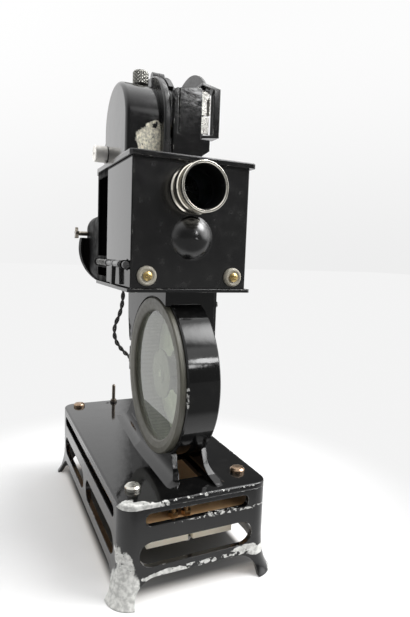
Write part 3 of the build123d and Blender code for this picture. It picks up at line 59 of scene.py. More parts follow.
def make_camera():
    """The photo's own camera, from its place and its three angles."""
    yaw = math.radians(CAMERA_YAW)
    pitch = math.radians(CAMERA_DOWN)
    roll = math.radians(CAMERA_ROLL)
    forward = Vector((math.sin(yaw) * math.cos(pitch), math.cos(yaw) * math.cos(pitch), -math.sin(pitch)))
    level = Vector((math.cos(yaw), -math.sin(yaw), 0.0))
    above = level.cross(forward)
    right = math.cos(roll) * level + math.sin(roll) * above
    up = math.cos(roll) * above - math.sin(roll) * level
    place = Matrix((
        (right.x, up.x, -forward.x, CAMERA_PLACE[0]),
        (right.y, up.y, -forward.y, CAMERA_PLACE[1]),
        (right.z, up.z, -forward.z, CAMERA_PLACE[2]),
        (0, 0, 0, 1),
    ))
    data = bpy.data.cameras.new("photo_camera")
    data.sensor_width = CAMERA_SENSOR
    data.sensor_fit = "AUTO"
    data.lens = CAMERA_LENS
    data.clip_start = CAMERA_NEAR
    data.clip_end = CAMERA_FAR
    camera = bpy.data.objects.new("photo_camera", data)
    camera.matrix_world = place
    scene = bpy.context.scene
    scene.collection.objects.link(camera)
    scene.camera = camera
    scene.render.resolution_x = PHOTO_WIDTH
    scene.render.resolution_y = PHOTO_HEIGHT
    scene.render.resolution_percentage = 100
    scene.view_settings.view_transform = "Standard"


# Node helpers

BORE_END = 0.0002
EDGE_RANGE = (0.02, 0.16)


def grey(value):
    return (value, value, value)


class Shade:
    """One node material, with short calls for the nodes that it is built from."""

    def __init__(self, name):
        self.material = bpy.data.materials.new(name)
        self.material.use_nodes = True
        self.tree = self.material.node_tree
        self.tree.nodes.clear()
        self.place = self.add("ShaderNodeTexCoord").outputs["Object"]

    def add(self, kind, **settings):
        node = self.tree.nodes.new(kind)
        for key, value in settings.items():
            setattr(node, key, value)
        return node

    def feed(self, socket, value):
        if isinstance(value, bpy.types.NodeSocket):
            self.tree.links.new(value, socket)
        elif isinstance(value, (tuple, list)) and len(value) == 3 and socket.type == "RGBA":
            socket.default_value = (*value, 1.0)
        else:
            socket.default_value = value

    def calc(self, operation, first, second=0.0, clamp=False):
        node = self.add("ShaderNodeMath", operation=operation, use_clamp=clamp)
        self.feed(node.inputs[0], first)
        self.feed(node.inputs[1], second)
        return node.outputs[0]

    def noise(self, scale, detail=3.0, seed=0.0, stretch=None, roughness=0.55):
        place = self.place
        if stretch:
            mapping = self.add("ShaderNodeMapping")
            self.feed(mapping.inputs["Vector"], place)
            mapping.inputs["Scale"].default_value = stretch
            place = mapping.outputs[0]
        node = self.add("ShaderNodeTexNoise", noise_dimensions="4D")
        self.feed(node.inputs["Vector"], place)
        node.inputs["W"].default_value = seed
        node.inputs["Scale"].default_value = scale
        node.inputs["Detail"].default_value = detail
        node.inputs["Roughness"].default_value = roughness
        return node.outputs[0]

    def ramp(self, value, low, high, start=0.0, end=1.0):
        node = self.add("ShaderNodeMapRange", interpolation_type="SMOOTHSTEP")
        self.feed(node.inputs["Value"], value)
        node.inputs["From Min"].default_value = low
        node.inputs["From Max"].default_value = high
        node.inputs["To Min"].default_value = start
        node.inputs["To Max"].default_value = end
        return node.outputs[0]

    def blend(self, factor, first, second):
        node = self.add("ShaderNodeMix", data_type="RGBA")
        self.feed(node.inputs[0], factor)
        self.feed(node.inputs[6], first)
        self.feed(node.inputs[7], second)
        return node.outputs[2]

    def level(self, factor, first, second):
        node = self.add("ShaderNodeMix", data_type="FLOAT")
        self.feed(node.inputs[0], factor)
        self.feed(node.inputs[2], first)
        self.feed(node.inputs[3], second)
        return node.outputs[0]

    def patch(self, centre, radii, ragged, scale, seed):
        """1 inside a ragged blob round a point, 0 outside."""
        moved = self.add("ShaderNodeVectorMath", operation="SUBTRACT")
        self.feed(moved.inputs[0], self.place)
        moved.inputs[1].default_value = centre
        sized = self.add("ShaderNodeVectorMath", operation="DIVIDE")
        self.feed(sized.inputs[0], moved.outputs[0])
        sized.inputs[1].default_value = radii
        far = self.add("ShaderNodeVectorMath", operation="LENGTH")
        self.feed(far.inputs[0], sized.outputs[0])
        rough = self.calc("MULTIPLY", self.calc("SUBTRACT", self.noise(scale, 5.0, seed), 0.5), ragged * 2)
        return self.ramp(self.calc("ADD", far.outputs["Value"], rough), 1.04, 0.92)

    def edges(self, radius):
        """1 on outside and inside corners within the radius."""
        round_normal = self.add("ShaderNodeBevel", samples=6)
        round_normal.inputs["Radius"].default_value = radius
        flat_normal = self.add("ShaderNodeNewGeometry").outputs["Normal"]
        dot = self.add("ShaderNodeVectorMath", operation="DOT_PRODUCT")
        self.feed(dot.inputs[0], round_normal.outputs[0])
        self.feed(dot.inputs[1], flat_normal)
        return self.ramp(self.calc("SUBTRACT", 1.0, dot.outputs["Value"]), *EDGE_RANGE)

    def bump(self, height, distance, strength=1.0, soft_edge=None):
        node = self.add("ShaderNodeBump")
        node.inputs["Strength"].default_value = strength
        node.inputs["Distance"].default_value = distance
        self.feed(node.inputs["Height"], height)
        if soft_edge:
            bevel = self.add("ShaderNodeBevel", samples=4)
            bevel.inputs["Radius"].default_value = soft_edge
            self.feed(node.inputs["Normal"], bevel.outputs[0])
        return node.outputs[0]

    def surface(self, **inputs):
        shader = self.add("ShaderNodeBsdfPrincipled")
        for key, value in inputs.items():
            self.feed(shader.inputs[key.replace("_", " ")], value)
        output = self.add("ShaderNodeOutputMaterial")
        self.tree.links.new(shader.outputs[0], output.inputs["Surface"])
        return self.material

    def axis_distance(self, point, axis):
        """Distance from a line through a point along X, Y or Z, and the place along that line."""
        split = self.add("ShaderNodeSeparateXYZ")
        self.feed(split.inputs[0], self.place)
        total = None
        for index in range(3):
            if index == axis:
                continue
            part = self.calc("SUBTRACT", split.outputs[index], point[index])
            square = self.calc("MULTIPLY", part, part)
            total = square if total is None else self.calc("ADD", total, square)
        return self.calc("SQRT", total), split.outputs[axis]

    def bore(self, point, axis, radius, low, high, soft):
        """1 inside a round hollow about an axis, 0 outside."""
        far, along = self.axis_distance(point, axis)
        within = self.calc("MULTIPLY", self.ramp(far, radius, radius - soft),
                           self.ramp(along, low, low + BORE_END))
        return self.calc("MULTIPLY", within, self.ramp(along, high, high - BORE_END))


# Finishes

DUST_TONE = (0.16, 0.155, 0.145)
PIT_TONE = grey(0.05)
BORE_BLACK = grey(0.002)
BARE_METAL = (0.60, 0.59, 0.55)
PLATED_TONE = (0.62, 0.61, 0.56)
PLATED_SPOT = (0.006, 0.006, 0.006)
GLASS_INDEX = 1.48
GLASS_ROUGH = 0.01
GLASS_DUST = (0.62, 0.63, 0.57)
KNURL_ROWS = 14.0
KNURL_CLIMB = 3300.0
KNURL_GROOVE = (0.012, 0.011, 0.010)
KNURL_CREST = (0.38, 0.375, 0.345)
KNURL_GRIME = (0.10, 0.095, 0.085)


def enamel(name, seed, rough=0.07, peel=0.2, wear=0.4, chips=0.0, patches=(), bare=BARE_METAL, edge=0.0006,
           dust=0.05, inside=None, tone=0.003, coat=0.3, coat_rough=0.04, gloss=0.5,
           bare_scale=240.0, bare_low=0.72, bare_metal=0.1, bare_rough=0.5):
    """Gloss black enamel with orange peel, dust, worn edges, chips and bare patches."""
    s = Shade(name)
    broad = s.noise(26.0, 4.0, seed)
    middle = s.noise(150.0, 5.0, seed + 3)
    fine = s.noise(900.0, 2.0, seed + 7)
    colour = s.blend(s.ramp(broad, 0.4, 0.72), (tone, tone, tone * 1.08), (tone * 2, tone * 2, tone * 1.95))
    dusty = s.calc("MULTIPLY", s.ramp(middle, 0.52, 0.8), dust)
    specks = s.calc("MULTIPLY", s.ramp(s.noise(1100.0, 2.0, seed + 9), 0.74, 0.78), s.ramp(broad, 0.45, 0.6))
    dusty = s.calc("MAXIMUM", dusty, s.calc("MULTIPLY", specks, min(1.0, dust * 3)))
    colour = s.blend(dusty, colour, DUST_TONE)
    rubbed = s.ramp(s.noise(170.0, 6.0, seed + 11), 0.66 - 0.22 * wear, 0.72 - 0.22 * wear)
    worn = s.calc("MULTIPLY", s.calc("MULTIPLY", s.edges(edge), rubbed), min(1.0, wear * 1.5))
    if chips:
        spots = s.ramp(s.noise(420.0, 6.0, seed + 13, roughness=0.7), 0.80 - 0.1 * chips, 0.83 - 0.1 * chips)
        worn = s.calc("MAXIMUM", worn, s.calc("MULTIPLY", spots, 0.8))
    for index, (centre, radii, ragged, amount) in enumerate(patches):
        blob = s.patch(centre, radii, ragged, 130.0, seed + 20 + index)
        flakes = s.ramp(s.noise(380.0, 6.0, seed + 40 + index), 0.66 - 0.3 * amount, 0.69 - 0.3 * amount)
        worn = s.calc("MAXIMUM", worn, s.calc("MULTIPLY", blob, flakes))
    tint = s.ramp(s.noise(bare_scale, 5.0, seed + 17), 0.38, 0.62)
    metal_tone = s.blend(tint, tuple(bare_low * v for v in bare), bare)
    pits = s.ramp(s.noise(95.0, 4.0, seed + 19), 0.68, 0.72)
    metal_tone = s.blend(s.calc("MULTIPLY", pits, 0.85), metal_tone, PIT_TONE)
    colour = s.blend(worn, colour, metal_tone)
    dull = s.calc("ADD", s.ramp(middle, 0.3, 0.75, rough, rough * 1.8), s.calc("MULTIPLY", dusty, 0.3))
    dull = s.level(worn, dull, bare_rough)
    coating = s.level(worn, coat, 0.0)
    if inside:
        *hollow, lining_tone = inside
        within = s.bore(*hollow, 0.0003)
        lining = s.blend(s.ramp(middle, 0.3, 0.7), tuple(0.82 * v for v in lining_tone), lining_tone)
        colour = s.blend(within, colour, lining)
        dull = s.level(within, dull, 0.55)
        coating = s.level(within, coating, 0.0)
    relief = s.calc("ADD", s.calc("MULTIPLY", broad, 3.0 * peel), s.calc("MULTIPLY", middle, peel))
    crinkle = s.calc("MULTIPLY", tint, 2.4 * bare_metal)
    relief = s.calc("SUBTRACT", relief, s.calc("MULTIPLY", worn, s.calc("ADD", 0.6, crinkle)))
    normal = s.bump(s.calc("ADD", relief, s.calc("MULTIPLY", fine, 0.02)), 0.00016, 0.5, soft_edge=edge)
    metallic = s.calc("MULTIPLY", worn, bare_metal)
    return s.surface(Base_Color=colour, Roughness=dull, Metallic=metallic, Coat_Weight=coating,
                     Coat_Roughness=coat_rough, Normal=normal, Coat_Normal=normal, Specular_IOR_Level=gloss)


def metal(name, seed, tone, rough=0.2, variation=0.12, stain=(0.25, 0.2, 0.14), stained=0.3, stretch=None,
          bump=0.00003, inside=None, plated=None):
    """Bare or plated metal with fine turning marks, tarnish and uneven polish."""
    s = Shade(name)
    broad = s.noise(70.0, 4.0, seed)
    marks = s.noise(600.0, 2.0, seed + 5, stretch=stretch)
    specks = s.ramp(s.noise(420.0, 6.0, seed + 9), 0.6, 0.72)
    colour = s.blend(s.ramp(broad, 0.35, 0.75), tone, tuple((1 - variation) * v for v in tone))
    tarnish = s.calc("MULTIPLY", s.calc("MAXIMUM", s.ramp(broad, 0.55, 0.8), specks), stained)
    colour = s.blend(tarnish, colour, stain)
    if plated:
        kept = s.calc("MULTIPLY", s.patch(plated, PLATED_SPOT, 0.2, 200.0, seed + 12),
                      s.ramp(s.noise(500.0, 5.0, seed + 14), 0.34, 0.42))
        colour = s.blend(kept, colour, PLATED_TONE)
    dull = s.calc("ADD", s.ramp(marks, 0.3, 0.7, rough * 0.7, rough * 1.3), s.calc("MULTIPLY", tarnish, 0.4))
    metallic = s.level(tarnish, 1.0, 0.6)
    if inside:
        within = s.bore(*inside, 0.0002)
        colour = s.blend(within, colour, BORE_BLACK)
        dull = s.level(within, dull, 0.55)
        metallic = s.level(within, metallic, 0.0)
    return s.surface(Base_Color=colour, Roughness=dull, Metallic=metallic,
                     Normal=s.bump(marks, bump, 0.5, soft_edge=0.00025))


def dull_solid(name, seed, light, dark, rough=0.55, scale=90.0, bump=0.0001, coat=0.0, stretch=None,
               grimy=0.45):
    """Unplated, moulded, fired or pressed stuff in two close tones."""
    s = Shade(name)
    broad = s.noise(scale, 5.0, seed, stretch=stretch)
    fine = s.noise(scale * 9, 3.0, seed + 2, stretch=stretch)
    colour = s.blend(s.ramp(broad, 0.3, 0.7), light, dark)
    grime = s.calc("MULTIPLY", s.ramp(s.noise(scale * 3, 6.0, seed + 4), 0.55, 0.75), grimy)
    colour = s.blend(grime, colour, tuple(0.45 * v for v in dark))
    dull = s.ramp(fine, 0.25, 0.75, rough - 0.1, rough + 0.1)
    relief = s.calc("ADD", broad, s.calc("MULTIPLY", fine, 0.4))
    return s.surface(Base_Color=colour, Roughness=dull, Coat_Weight=coat,
                     Normal=s.bump(relief, bump, 0.6, soft_edge=0.0003))


def clear_glass(name, seed, tint, film, mirror):
    """Thin clear glass: see-through, with its front reflection, a dusty film and a faint tint."""
    s = Shade(name)
    dust = s.ramp(s.noise(60.0, 6.0, seed), 0.45, 0.8)
    smear = s.ramp(s.noise(20.0, 3.0, seed + 4), 0.35, 0.75)
    see = s.add("ShaderNodeBsdfTransparent")
    see.inputs[0].default_value = (*tint, 1.0)
    gloss = s.add("ShaderNodeBsdfGlossy")
    s.feed(gloss.inputs["Roughness"], s.ramp(smear, 0.0, 1.0, GLASS_ROUGH, GLASS_ROUGH + 0.05))
    powder = s.add("ShaderNodeBsdfDiffuse")
    s.feed(powder.inputs[0], GLASS_DUST)
    sheen = s.add("ShaderNodeFresnel")
    sheen.inputs[0].default_value = GLASS_INDEX
    front = s.calc("SUBTRACT", 1.0, s.add("ShaderNodeNewGeometry").outputs["Backfacing"])
    share = s.calc("MULTIPLY", s.calc("MULTIPLY", sheen.outputs[0], front), mirror, clamp=True)
    first = s.add("ShaderNodeMixShader")
    s.feed(first.inputs[0], share)
    s.tree.links.new(see.outputs[0], first.inputs[1])
    s.tree.links.new(gloss.outputs[0], first.inputs[2])
    second = s.add("ShaderNodeMixShader")
    haze = s.calc("ADD", s.calc("MULTIPLY", s.calc("ADD", dust, smear), film), film * 0.5)
    s.feed(second.inputs[0], s.calc("MULTIPLY", haze, front))
    s.tree.links.new(first.outputs[0], second.inputs[1])
    s.tree.links.new(powder.outputs[0], second.inputs[2])
    output = s.add("ShaderNodeOutputMaterial")
    s.tree.links.new(second.outputs[0], output.inputs["Surface"])
    return s.material


def knurled(name, seed, centre):
    """Grey alloy with a diamond knurl round an upright axis."""
    s = Shade(name)
    split = s.add("ShaderNodeSeparateXYZ")
    s.feed(split.inputs[0], s.place)
    across = s.calc("SUBTRACT", split.outputs[0], centre[0])
    deep = s.calc("SUBTRACT", split.outputs[1], centre[1])
    turn = s.calc("MULTIPLY", s.calc("ARCTAN2", deep, across), KNURL_ROWS)
    climb = s.calc("MULTIPLY", split.outputs[2], KNURL_CLIMB)
    right = s.calc("ABSOLUTE", s.calc("SINE", s.calc("MULTIPLY", s.calc("ADD", turn, climb), 0.5)))
    left = s.calc("ABSOLUTE", s.calc("SINE", s.calc("MULTIPLY", s.calc("SUBTRACT", turn, climb), 0.5)))
    cut = s.calc("MINIMUM", right, left)
    grime = s.ramp(s.noise(260.0, 5.0, seed), 0.35, 0.75)
    colour = s.blend(s.ramp(cut, 0.05, 0.5), KNURL_GROOVE, KNURL_CREST)
    colour = s.blend(s.calc("MULTIPLY", grime, 0.35), colour, KNURL_GRIME)
    return s.surface(Base_Color=colour, Roughness=s.ramp(grime, 0.0, 1.0, 0.34, 0.5), Metallic=0.75,
                     Normal=s.bump(cut, 0.00022, 0.9, soft_edge=0.00025))


# Each node's finish. Bare patches are (centre, radii, raggedness, cover), and a hollow's lining is
# (point, axis, radius, low end, high end, tone).

LEG_PATCHES = (
    ((-0.0490, -0.0960, 0.0050), (0.016, 0.018, 0.0185), 0.35, 1.35),
    ((-0.0440, -0.0965, 0.0205), (0.0085, 0.010, 0.012), 0.8, 1.05),
    ((-0.0490, -0.0900, 0.0270), (0.006, 0.010, 0.014), 0.8, 0.85),
    ((0.0500, -0.0975, 0.0020), (0.005, 0.008, 0.010), 0.6, 1.0),
    ((0.0400, -0.0940, 0.0140), (0.009, 0.010, 0.0026), 0.7, 1.1),
    ((0.0300, -0.0925, 0.0172), (0.008, 0.006, 0.0022), 0.8, 1.0),
    ((0.0020, -0.0925, 0.0150), (0.030, 0.006, 0.0014), 1.0, 0.55),
    ((-0.0180, -0.0925, 0.0135), (0.013, 0.006, 0.0026), 0.8, 1.0),
    ((0.0170, -0.0925, 0.0415), (0.026, 0.004, 0.0009), 1.2, 0.5),
    ((-0.0490, 0.0950, 0.0040), (0.008, 0.010, 0.006), 0.7, 0.8),
)
COVER_PATCHES = (
    ((-0.0430, -0.0905, 0.0520), (0.0085, 0.0070, 0.0065), 0.7, 1.15),
    ((-0.0330, -0.0918, 0.0520), (0.009, 0.0040, 0.0045), 0.9, 1.0),
    ((-0.0240, -0.0920, 0.0525), (0.006, 0.0020, 0.0028), 1.0, 0.8),
    ((0.0060, -0.0922, 0.0545), (0.030, 0.0010, 0.0009), 1.2, 0.35),
    ((0.0440, -0.0400, 0.0545), (0.0010, 0.045, 0.0010), 1.1, 0.35),
    ((-0.0092, -0.0885, 0.1090), (0.0012, 0.007, 0.007), 1.0, 0.60),
)
HOUSING_PATCHES = (
    ((-0.0205, -0.0570, 0.2450), (0.0105, 0.010, 0.0088), 0.6, 0.95),
    ((-0.0195, -0.0565, 0.2530), (0.0062, 0.010, 0.0045), 1.0, 0.75),
)
DRUM_LINING = (DRUM, 0, 0.0446, -0.0090, 0.0077, (0.78, 0.80, 0.73))

finishes = {
    "base_frame": enamel("base_enamel", 1.0, 0.09, 0.5, 0.4, 0.12, LEG_PATCHES, (0.61, 0.61, 0.585), 0.0008,
                         coat=0.06, bare_scale=420.0, bare_low=0.62, gloss=0.42),
    "main_casting": enamel("casting_enamel", 5.0, 0.06, 0.6, 0.36, 0.1, COVER_PATCHES, (0.62, 0.62, 0.595),
                           inside=DRUM_LINING, coat=0.03, bare_scale=420.0, bare_low=0.62, gloss=0.42),
    "rewind_housing": enamel("housing_enamel", 9.0, 0.10, 0.5, 0.45, 0.15, HOUSING_PATCHES, (1.0, 0.95, 0.78),
                             bare_scale=620.0, bare_low=0.50, bare_metal=0.10, bare_rough=0.42),
    "mechanism_box": enamel("box_enamel", 13.0, 0.50, 0.1, 0.3, coat=0.0, gloss=0.08),
    "front_cover": enamel("front_enamel", 17.0, 0.16, 0.3, 0.25, 0.25, dust=0.10, coat=0.55, coat_rough=0.20),
    "left_panel": enamel("panel_enamel", 21.0, 0.06, 0.05, 0.25, dust=0.03, coat=0.14),
    "top_plate": enamel("lid_enamel", 25.0, 0.12, 0.15, 0.4, 0.1, dust=0.12),
    "bottom_plate": enamel("bottom_enamel", 29.0, 0.10, 0.15, 0.5, 0.15),
    "side_cover": enamel("side_enamel", 33.0, 0.07, 0.1, 0.4, 0.1),
    "cassette_flange": enamel("flange_enamel", 37.0, 0.20, 0.2, 0.3, 0.05, tone=0.006),
    "clamp_arm": enamel("arm_enamel", 41.0, 0.28, 0.2, 0.35, 0.1, tone=0.014),
    "film_head": enamel("head_enamel", 45.0, 0.09, 0.9, 0.5, 0.45, dust=0.08),
    "head_frame": enamel("frame_enamel", 49.0, 0.09, 0.3, 0.5, 0.35),
    "film_cassette": enamel("cassette_enamel", 53.0, 0.22, 0.2, 0.4, 0.05, tone=0.006),
    "lamp_house": enamel("hood_enamel", 57.0, 0.42, 0.2, 0.2, 0.05, coat=0.0, gloss=0.08),
    "lamp_cap": enamel("cap_enamel", 61.0, 0.42, 0.2, 0.3, 0.1, coat=0.0, gloss=0.08),
    "condenser_ring": enamel("cell_enamel", 65.0, 0.4, 0.1, 0.3, coat=0.0, gloss=0.08),
    "shutter_disc": enamel("shutter_enamel", 69.0, 0.4, 0.1, 0.3, coat=0.0, gloss=0.08),
    "door_bezel": dull_solid("bezel_paint", 71.0, (0.105, 0.101, 0.080), (0.080, 0.077, 0.061), 0.42, 30.0,
                             0.00003, grimy=0.05),
    "door_glass": clear_glass("door_pane", 73.0, (0.88, 0.91, 0.83), 0.13, 2.0),
    "lens_glass": clear_glass("lens_elements", 75.0, (0.90, 0.93, 0.97), 0.02, 0.01),
    "condenser_lens": clear_glass("condenser_element", 76.0, (0.93, 0.96, 0.95), 0.03, 0.01),
    "lamp_bulb": clear_glass("bulb_envelope", 77.0, (0.92, 0.92, 0.90), 0.04, 0.01),
    "resistor_board": dull_solid("fibre", 79.0, (0.95, 0.62, 0.33), (0.82, 0.48, 0.23), 0.45, 45.0, 0.0001,
                                 0.1, (1, 0.25, 1)),
    "resistor_bars": dull_solid("fired_clay", 81.0, (0.93, 0.88, 0.74), (0.86, 0.79, 0.63), 0.75, 60.0,
                                0.0001, grimy=0.1),
    "cover_nuts": dull_solid("pale_moulding", 83.0, (0.46, 0.44, 0.37), (0.34, 0.31, 0.25), 0.34, 120.0,
                             0.00004, 0.1),
    "cover_bushes": dull_solid("insulator", 85.0, (0.030, 0.024, 0.020), (0.015, 0.012, 0.010), 0.35, 90.0,
                               0.00003, 0.2),
    "lens_flange": metal("nickel_flange", 87.0, (0.82, 0.78, 0.69), 0.14, 0.2, (0.32, 0.27, 0.18), 0.35,
                         (1, 6, 1), inside=(LENS, 1, 0.0160, -0.0692, -0.0600)),
    "lens_tube": metal("nickel_tube", 89.0, (0.82, 0.79, 0.71), 0.12, 0.2, (0.34, 0.28, 0.18), 0.3, (1, 6, 1),
                       inside=(LENS, 1, 0.01215, -0.0843, -0.0490)),
    "guide_plates": metal("nickel_guides", 91.0, (0.66, 0.65, 0.61), 0.3, 0.4, (0.16, 0.15, 0.13), 0.6),
    "gate_plate": metal("nickel_gate", 93.0, (0.76, 0.75, 0.72), 0.2),
    "pressure_plate": metal("nickel_pressure", 95.0, (0.76, 0.75, 0.72), 0.22),
    "rewind_spindle": metal("nickel_spindle", 97.0, (0.97, 0.95, 0.91), 0.60, 0.05, stained=0.08),
    "cover_bolts": metal("bolt_brass", 99.0, (0.46, 0.33, 0.23), 0.3, 0.35, (0.12, 0.06, 0.035), 0.75,
                         bump=0.0001, plated=(-0.033, -0.0735, 0.0567)),
    "board_terminals": metal("terminal_brass", 101.0, (0.45, 0.30, 0.16), 0.36, 0.3, (0.10, 0.07, 0.04), 0.6),
    "terminal_pin": metal("pin_brass", 103.0, (0.20, 0.17, 0.14), 0.38, 0.3, (0.04, 0.035, 0.03), 0.7),
    "cover_studs": metal("stud_brass", 105.0, (0.58, 0.43, 0.18), 0.28, 0.3, (0.12, 0.08, 0.03), 0.6),
    "crank_gear": metal("gear_brass", 107.0, (0.78, 0.58, 0.27), 0.28, 0.2),
    "main_bevel": metal("bevel_brass", 109.0, (0.76, 0.56, 0.26), 0.3, 0.2),
    "rewind_gear": metal("rewind_brass", 111.0, (0.76, 0.56, 0.26), 0.3, 0.2),
    "lamp_socket": metal("socket_brass", 113.0, (0.66, 0.50, 0.25), 0.34, 0.3, stained=0.5),
    "crank_bush": metal("bush_brass", 115.0, (0.55, 0.42, 0.24), 0.3, 0.3, stained=0.5),
    "star_screw": metal("star_brass", 117.0, (0.30, 0.27, 0.23), 0.36, 0.3, (0.06, 0.055, 0.05), 0.7),
    "knurled_knob": knurled("knob_alloy", 119.0, KNOB),
    "takeup_core": dull_solid("core_alloy", 121.0, (0.26, 0.26, 0.25), (0.16, 0.16, 0.155), 0.42, 70.0,
                              0.00005),
    "cassette_backplate": dull_solid("backplate_alloy", 123.0, grey(0.14), grey(0.09), 0.45, 60.0, 0.00005),
    "mechanism_frame": metal("frame_alloy", 125.0, (0.42, 0.42, 0.41), 0.42, 0.2, bump=0.00012),
    "bar_bolts": metal("bolt_steel", 127.0, (0.36, 0.35, 0.33), 0.4, 0.3, (0.12, 0.07, 0.04), 0.6),
    "door_hinge_pin": metal("hinge_steel", 129.0, (0.34, 0.33, 0.32), 0.36, 0.3, stained=0.5),
    "takeup_shaft": metal("takeup_steel", 131.0, grey(0.50), 0.3),
    "side_screws": metal("screw_steel", 133.0, (0.42, 0.41, 0.40), 0.32, 0.3, stained=0.5),
    "latch_rod": metal("rod_steel", 135.0, grey(0.15), 0.30, 0.3, grey(0.03), 0.6, (1, 0.2, 1)),
    "latch_lever": metal("lever_steel", 137.0, grey(0.09), 0.34, 0.3, grey(0.03), 0.6),
    "crank_shaft": metal("crank_steel", 139.0, (0.50, 0.50, 0.49), 0.26),
    "main_shaft": metal("main_steel", 141.0, (0.50, 0.50, 0.49), 0.26),
    "shutter_shaft": metal("shutter_steel", 143.0, (0.50, 0.48, 0.42), 0.28),
    "claw_arm": metal("claw_steel", 145.0, grey(0.44), 0.3),
}


def dress(obj, material):
    """Gives an object one material and nothing else."""
    obj.data.materials.clear()
    obj.data.materials.append(material)


for node_name, finish in finishes.items():
    dress(nodes[node_name], finish)


# Fine pieces that stand for plain CAD ones


def mesh_piece(name, points, faces, material, smooth=True):
    """A linked mesh object with one material."""
    data = bpy.data.meshes.new(name)
    data.from_pydata([tuple(p) for p in points], [], faces)
    data.validate()
    if smooth:
        for face in data.polygons:
            face.use_smooth = True
    piece = bpy.data.objects.new(name, data)
    bpy.context.scene.collection.objects.link(piece)
    dress(piece, material)
    return piece


def swept(points, radius, sides):
    """Points and faces of a round tube along a line of points, closed at both ends."""
    count = len(points)
    rings = []
    side = Vector((1, 0, 0))
    for index, point in enumerate(points):
        after = points[min(index + 1, count - 1)]
        before = points[max(index - 1, 0)]
        along = (after - before).normalized()
        side = (side - along * side.dot(along)).normalized()
        up = along.cross(side)
        ring = []
        for step in range(sides):
            angle = 2 * math.pi * step / sides
            ring.append(point + radius * (math.cos(angle) * side + math.sin(angle) * up))
        rings.append(ring)
    vertices = [v for ring in rings for v in ring]
    faces = []
    for index in range(count - 1):
        for step in range(sides):
            following = (step + 1) % sides
            low = index * sides
            high = low + sides
            faces.append((low + step, low + following, high + following, high + step))
    faces.append(tuple(reversed(range(sides))))
    faces.append(tuple((count - 1) * sides + step for step in range(sides)))
    return vertices, faces


# The flex's route in millimetres, as in the CAD; its other sizes are in metres
FLEX_ROUTE = (
    (-12.0, 29.0, 160.0), (-12.0, 29.0, 150.0), (-14.2, 28.6, 140.0), (-18.4, 29.2, 130.6),
    (-17.4, 30.6, 120.4), (-11.4, 33.0, 112.0), (-3.6, 36.8, 105.0), (4.4, 41.0, 98.0),
    (11.0, 44.6, 89.6), (15.4, 46.2, 79.8), (16.8, 46.6, 69.2), (16.8, 46.6, 58.2),
)
FLEX_DIAMETER = 0.0032
FLEX_LAY = 0.0125
FLEX_STEPS = 360
STRAND_OFFSET = FLEX_DIAMETER / 4
STRAND_RADIUS = STRAND_OFFSET * 0.98
STRAND_SIDES = 10
BRAID_DARK = (0.010, 0.009, 0.008)
BRAID_PALE = (0.045, 0.040, 0.036)


def flex_line():
    """Even points along a NURBS through the flex's route."""
    data = bpy.data.curves.new("flex_line", "CURVE")
    data.dimensions = "3D"
    spline = data.splines.new("NURBS")
    spline.points.add(len(FLEX_ROUTE) - 1)
    for point, place in zip(spline.points, FLEX_ROUTE):
        point.co = (*(v / 1000 for v in place), 1.0)
    spline.order_u = 3
    spline.use_endpoint_u = True
    spline.resolution_u = 24
    line = bpy.data.objects.new("flex_line", data)
    bpy.context.scene.collection.objects.link(line)
    bpy.context.view_layer.update()
    mesh = line.evaluated_get(bpy.context.evaluated_depsgraph_get()).to_mesh()
    dense = [v.co.copy() for v in mesh.vertices]
    bpy.data.objects.remove(line)
    lengths = [0.0]
    for first, second in zip(dense, dense[1:]):
        lengths.append(lengths[-1] + (second - first).length)
    total = lengths[-1]
    even = []
    index = 0
    for step in range(FLEX_STEPS + 1):
        goal = total * step / FLEX_STEPS
        while index < len(lengths) - 2 and lengths[index + 1] < goal:
            index += 1
        span = lengths[index + 1] - lengths[index]
        share = 0.0 if span < 1e-12 else (goal - lengths[index]) / span
        even.append(dense[index].lerp(dense[index + 1], min(1.0, share)))
    return even, total


def make_flex():
    """Two braided conductors twisted round each other."""
    line, total = flex_line()
    s = Shade("braid")
    weave = s.add("ShaderNodeTexWave", wave_type="BANDS", bands_direction="DIAGONAL")
    s.feed(weave.inputs["Vector"], s.place)
    weave.inputs["Scale"].default_value = 900.0
    weave.inputs["Distortion"].default_value = 3.0
    lint = s.noise(260.0, 5.0, 151.0)
    colour = s.blend(s.ramp(lint, 0.35, 0.75), BRAID_DARK, BRAID_PALE)
    relief = s.calc("ADD", weave.outputs["Fac"], lint)
    braid = s.surface(Base_Color=colour, Roughness=s.ramp(lint, 0.3, 0.7, 0.55, 0.8), Sheen_Weight=0.3,
                      Normal=s.bump(relief, 0.0001, 0.6))
    vertices, faces = [], []
    side = Vector((1, 0, 0))
    sides_at = []
    for index, point in enumerate(line):
        along = (line[min(index + 1, len(line) - 1)] - line[max(index - 1, 0)]).normalized()
        side = (side - along * side.dot(along)).normalized()
        sides_at.append((side.copy(), along.cross(side)))
    for strand in range(2):
        centre = []
        for index, point in enumerate(line):
            turn = 2 * math.pi * total * index / (len(line) - 1) / FLEX_LAY + strand * math.pi
            first, second = sides_at[index]
            centre.append(point + STRAND_OFFSET * (math.cos(turn) * first + math.sin(turn) * second))
        points, quads = swept(centre, STRAND_RADIUS, STRAND_SIDES)
        offset = len(vertices)
        vertices.extend(points)
        faces.extend(tuple(i + offset for i in quad) for quad in quads)
    flex = mesh_piece("twisted_flex", vertices, faces, braid)
    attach(flex, "stand")
    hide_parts("lamp_flex")


# The latch rod's spring: an open coil along Y, in metres
SPRING_TURNS = 14
SPRING_STEPS = 20
SPRING_FRONT = -0.0272
SPRING_REAR = -0.0045
SPRING_X = -0.038
SPRING_Z = 0.1788
SPRING_RADIUS = 0.00174
WIRE_RADIUS = 0.00019
WIRE_SIDES = 8


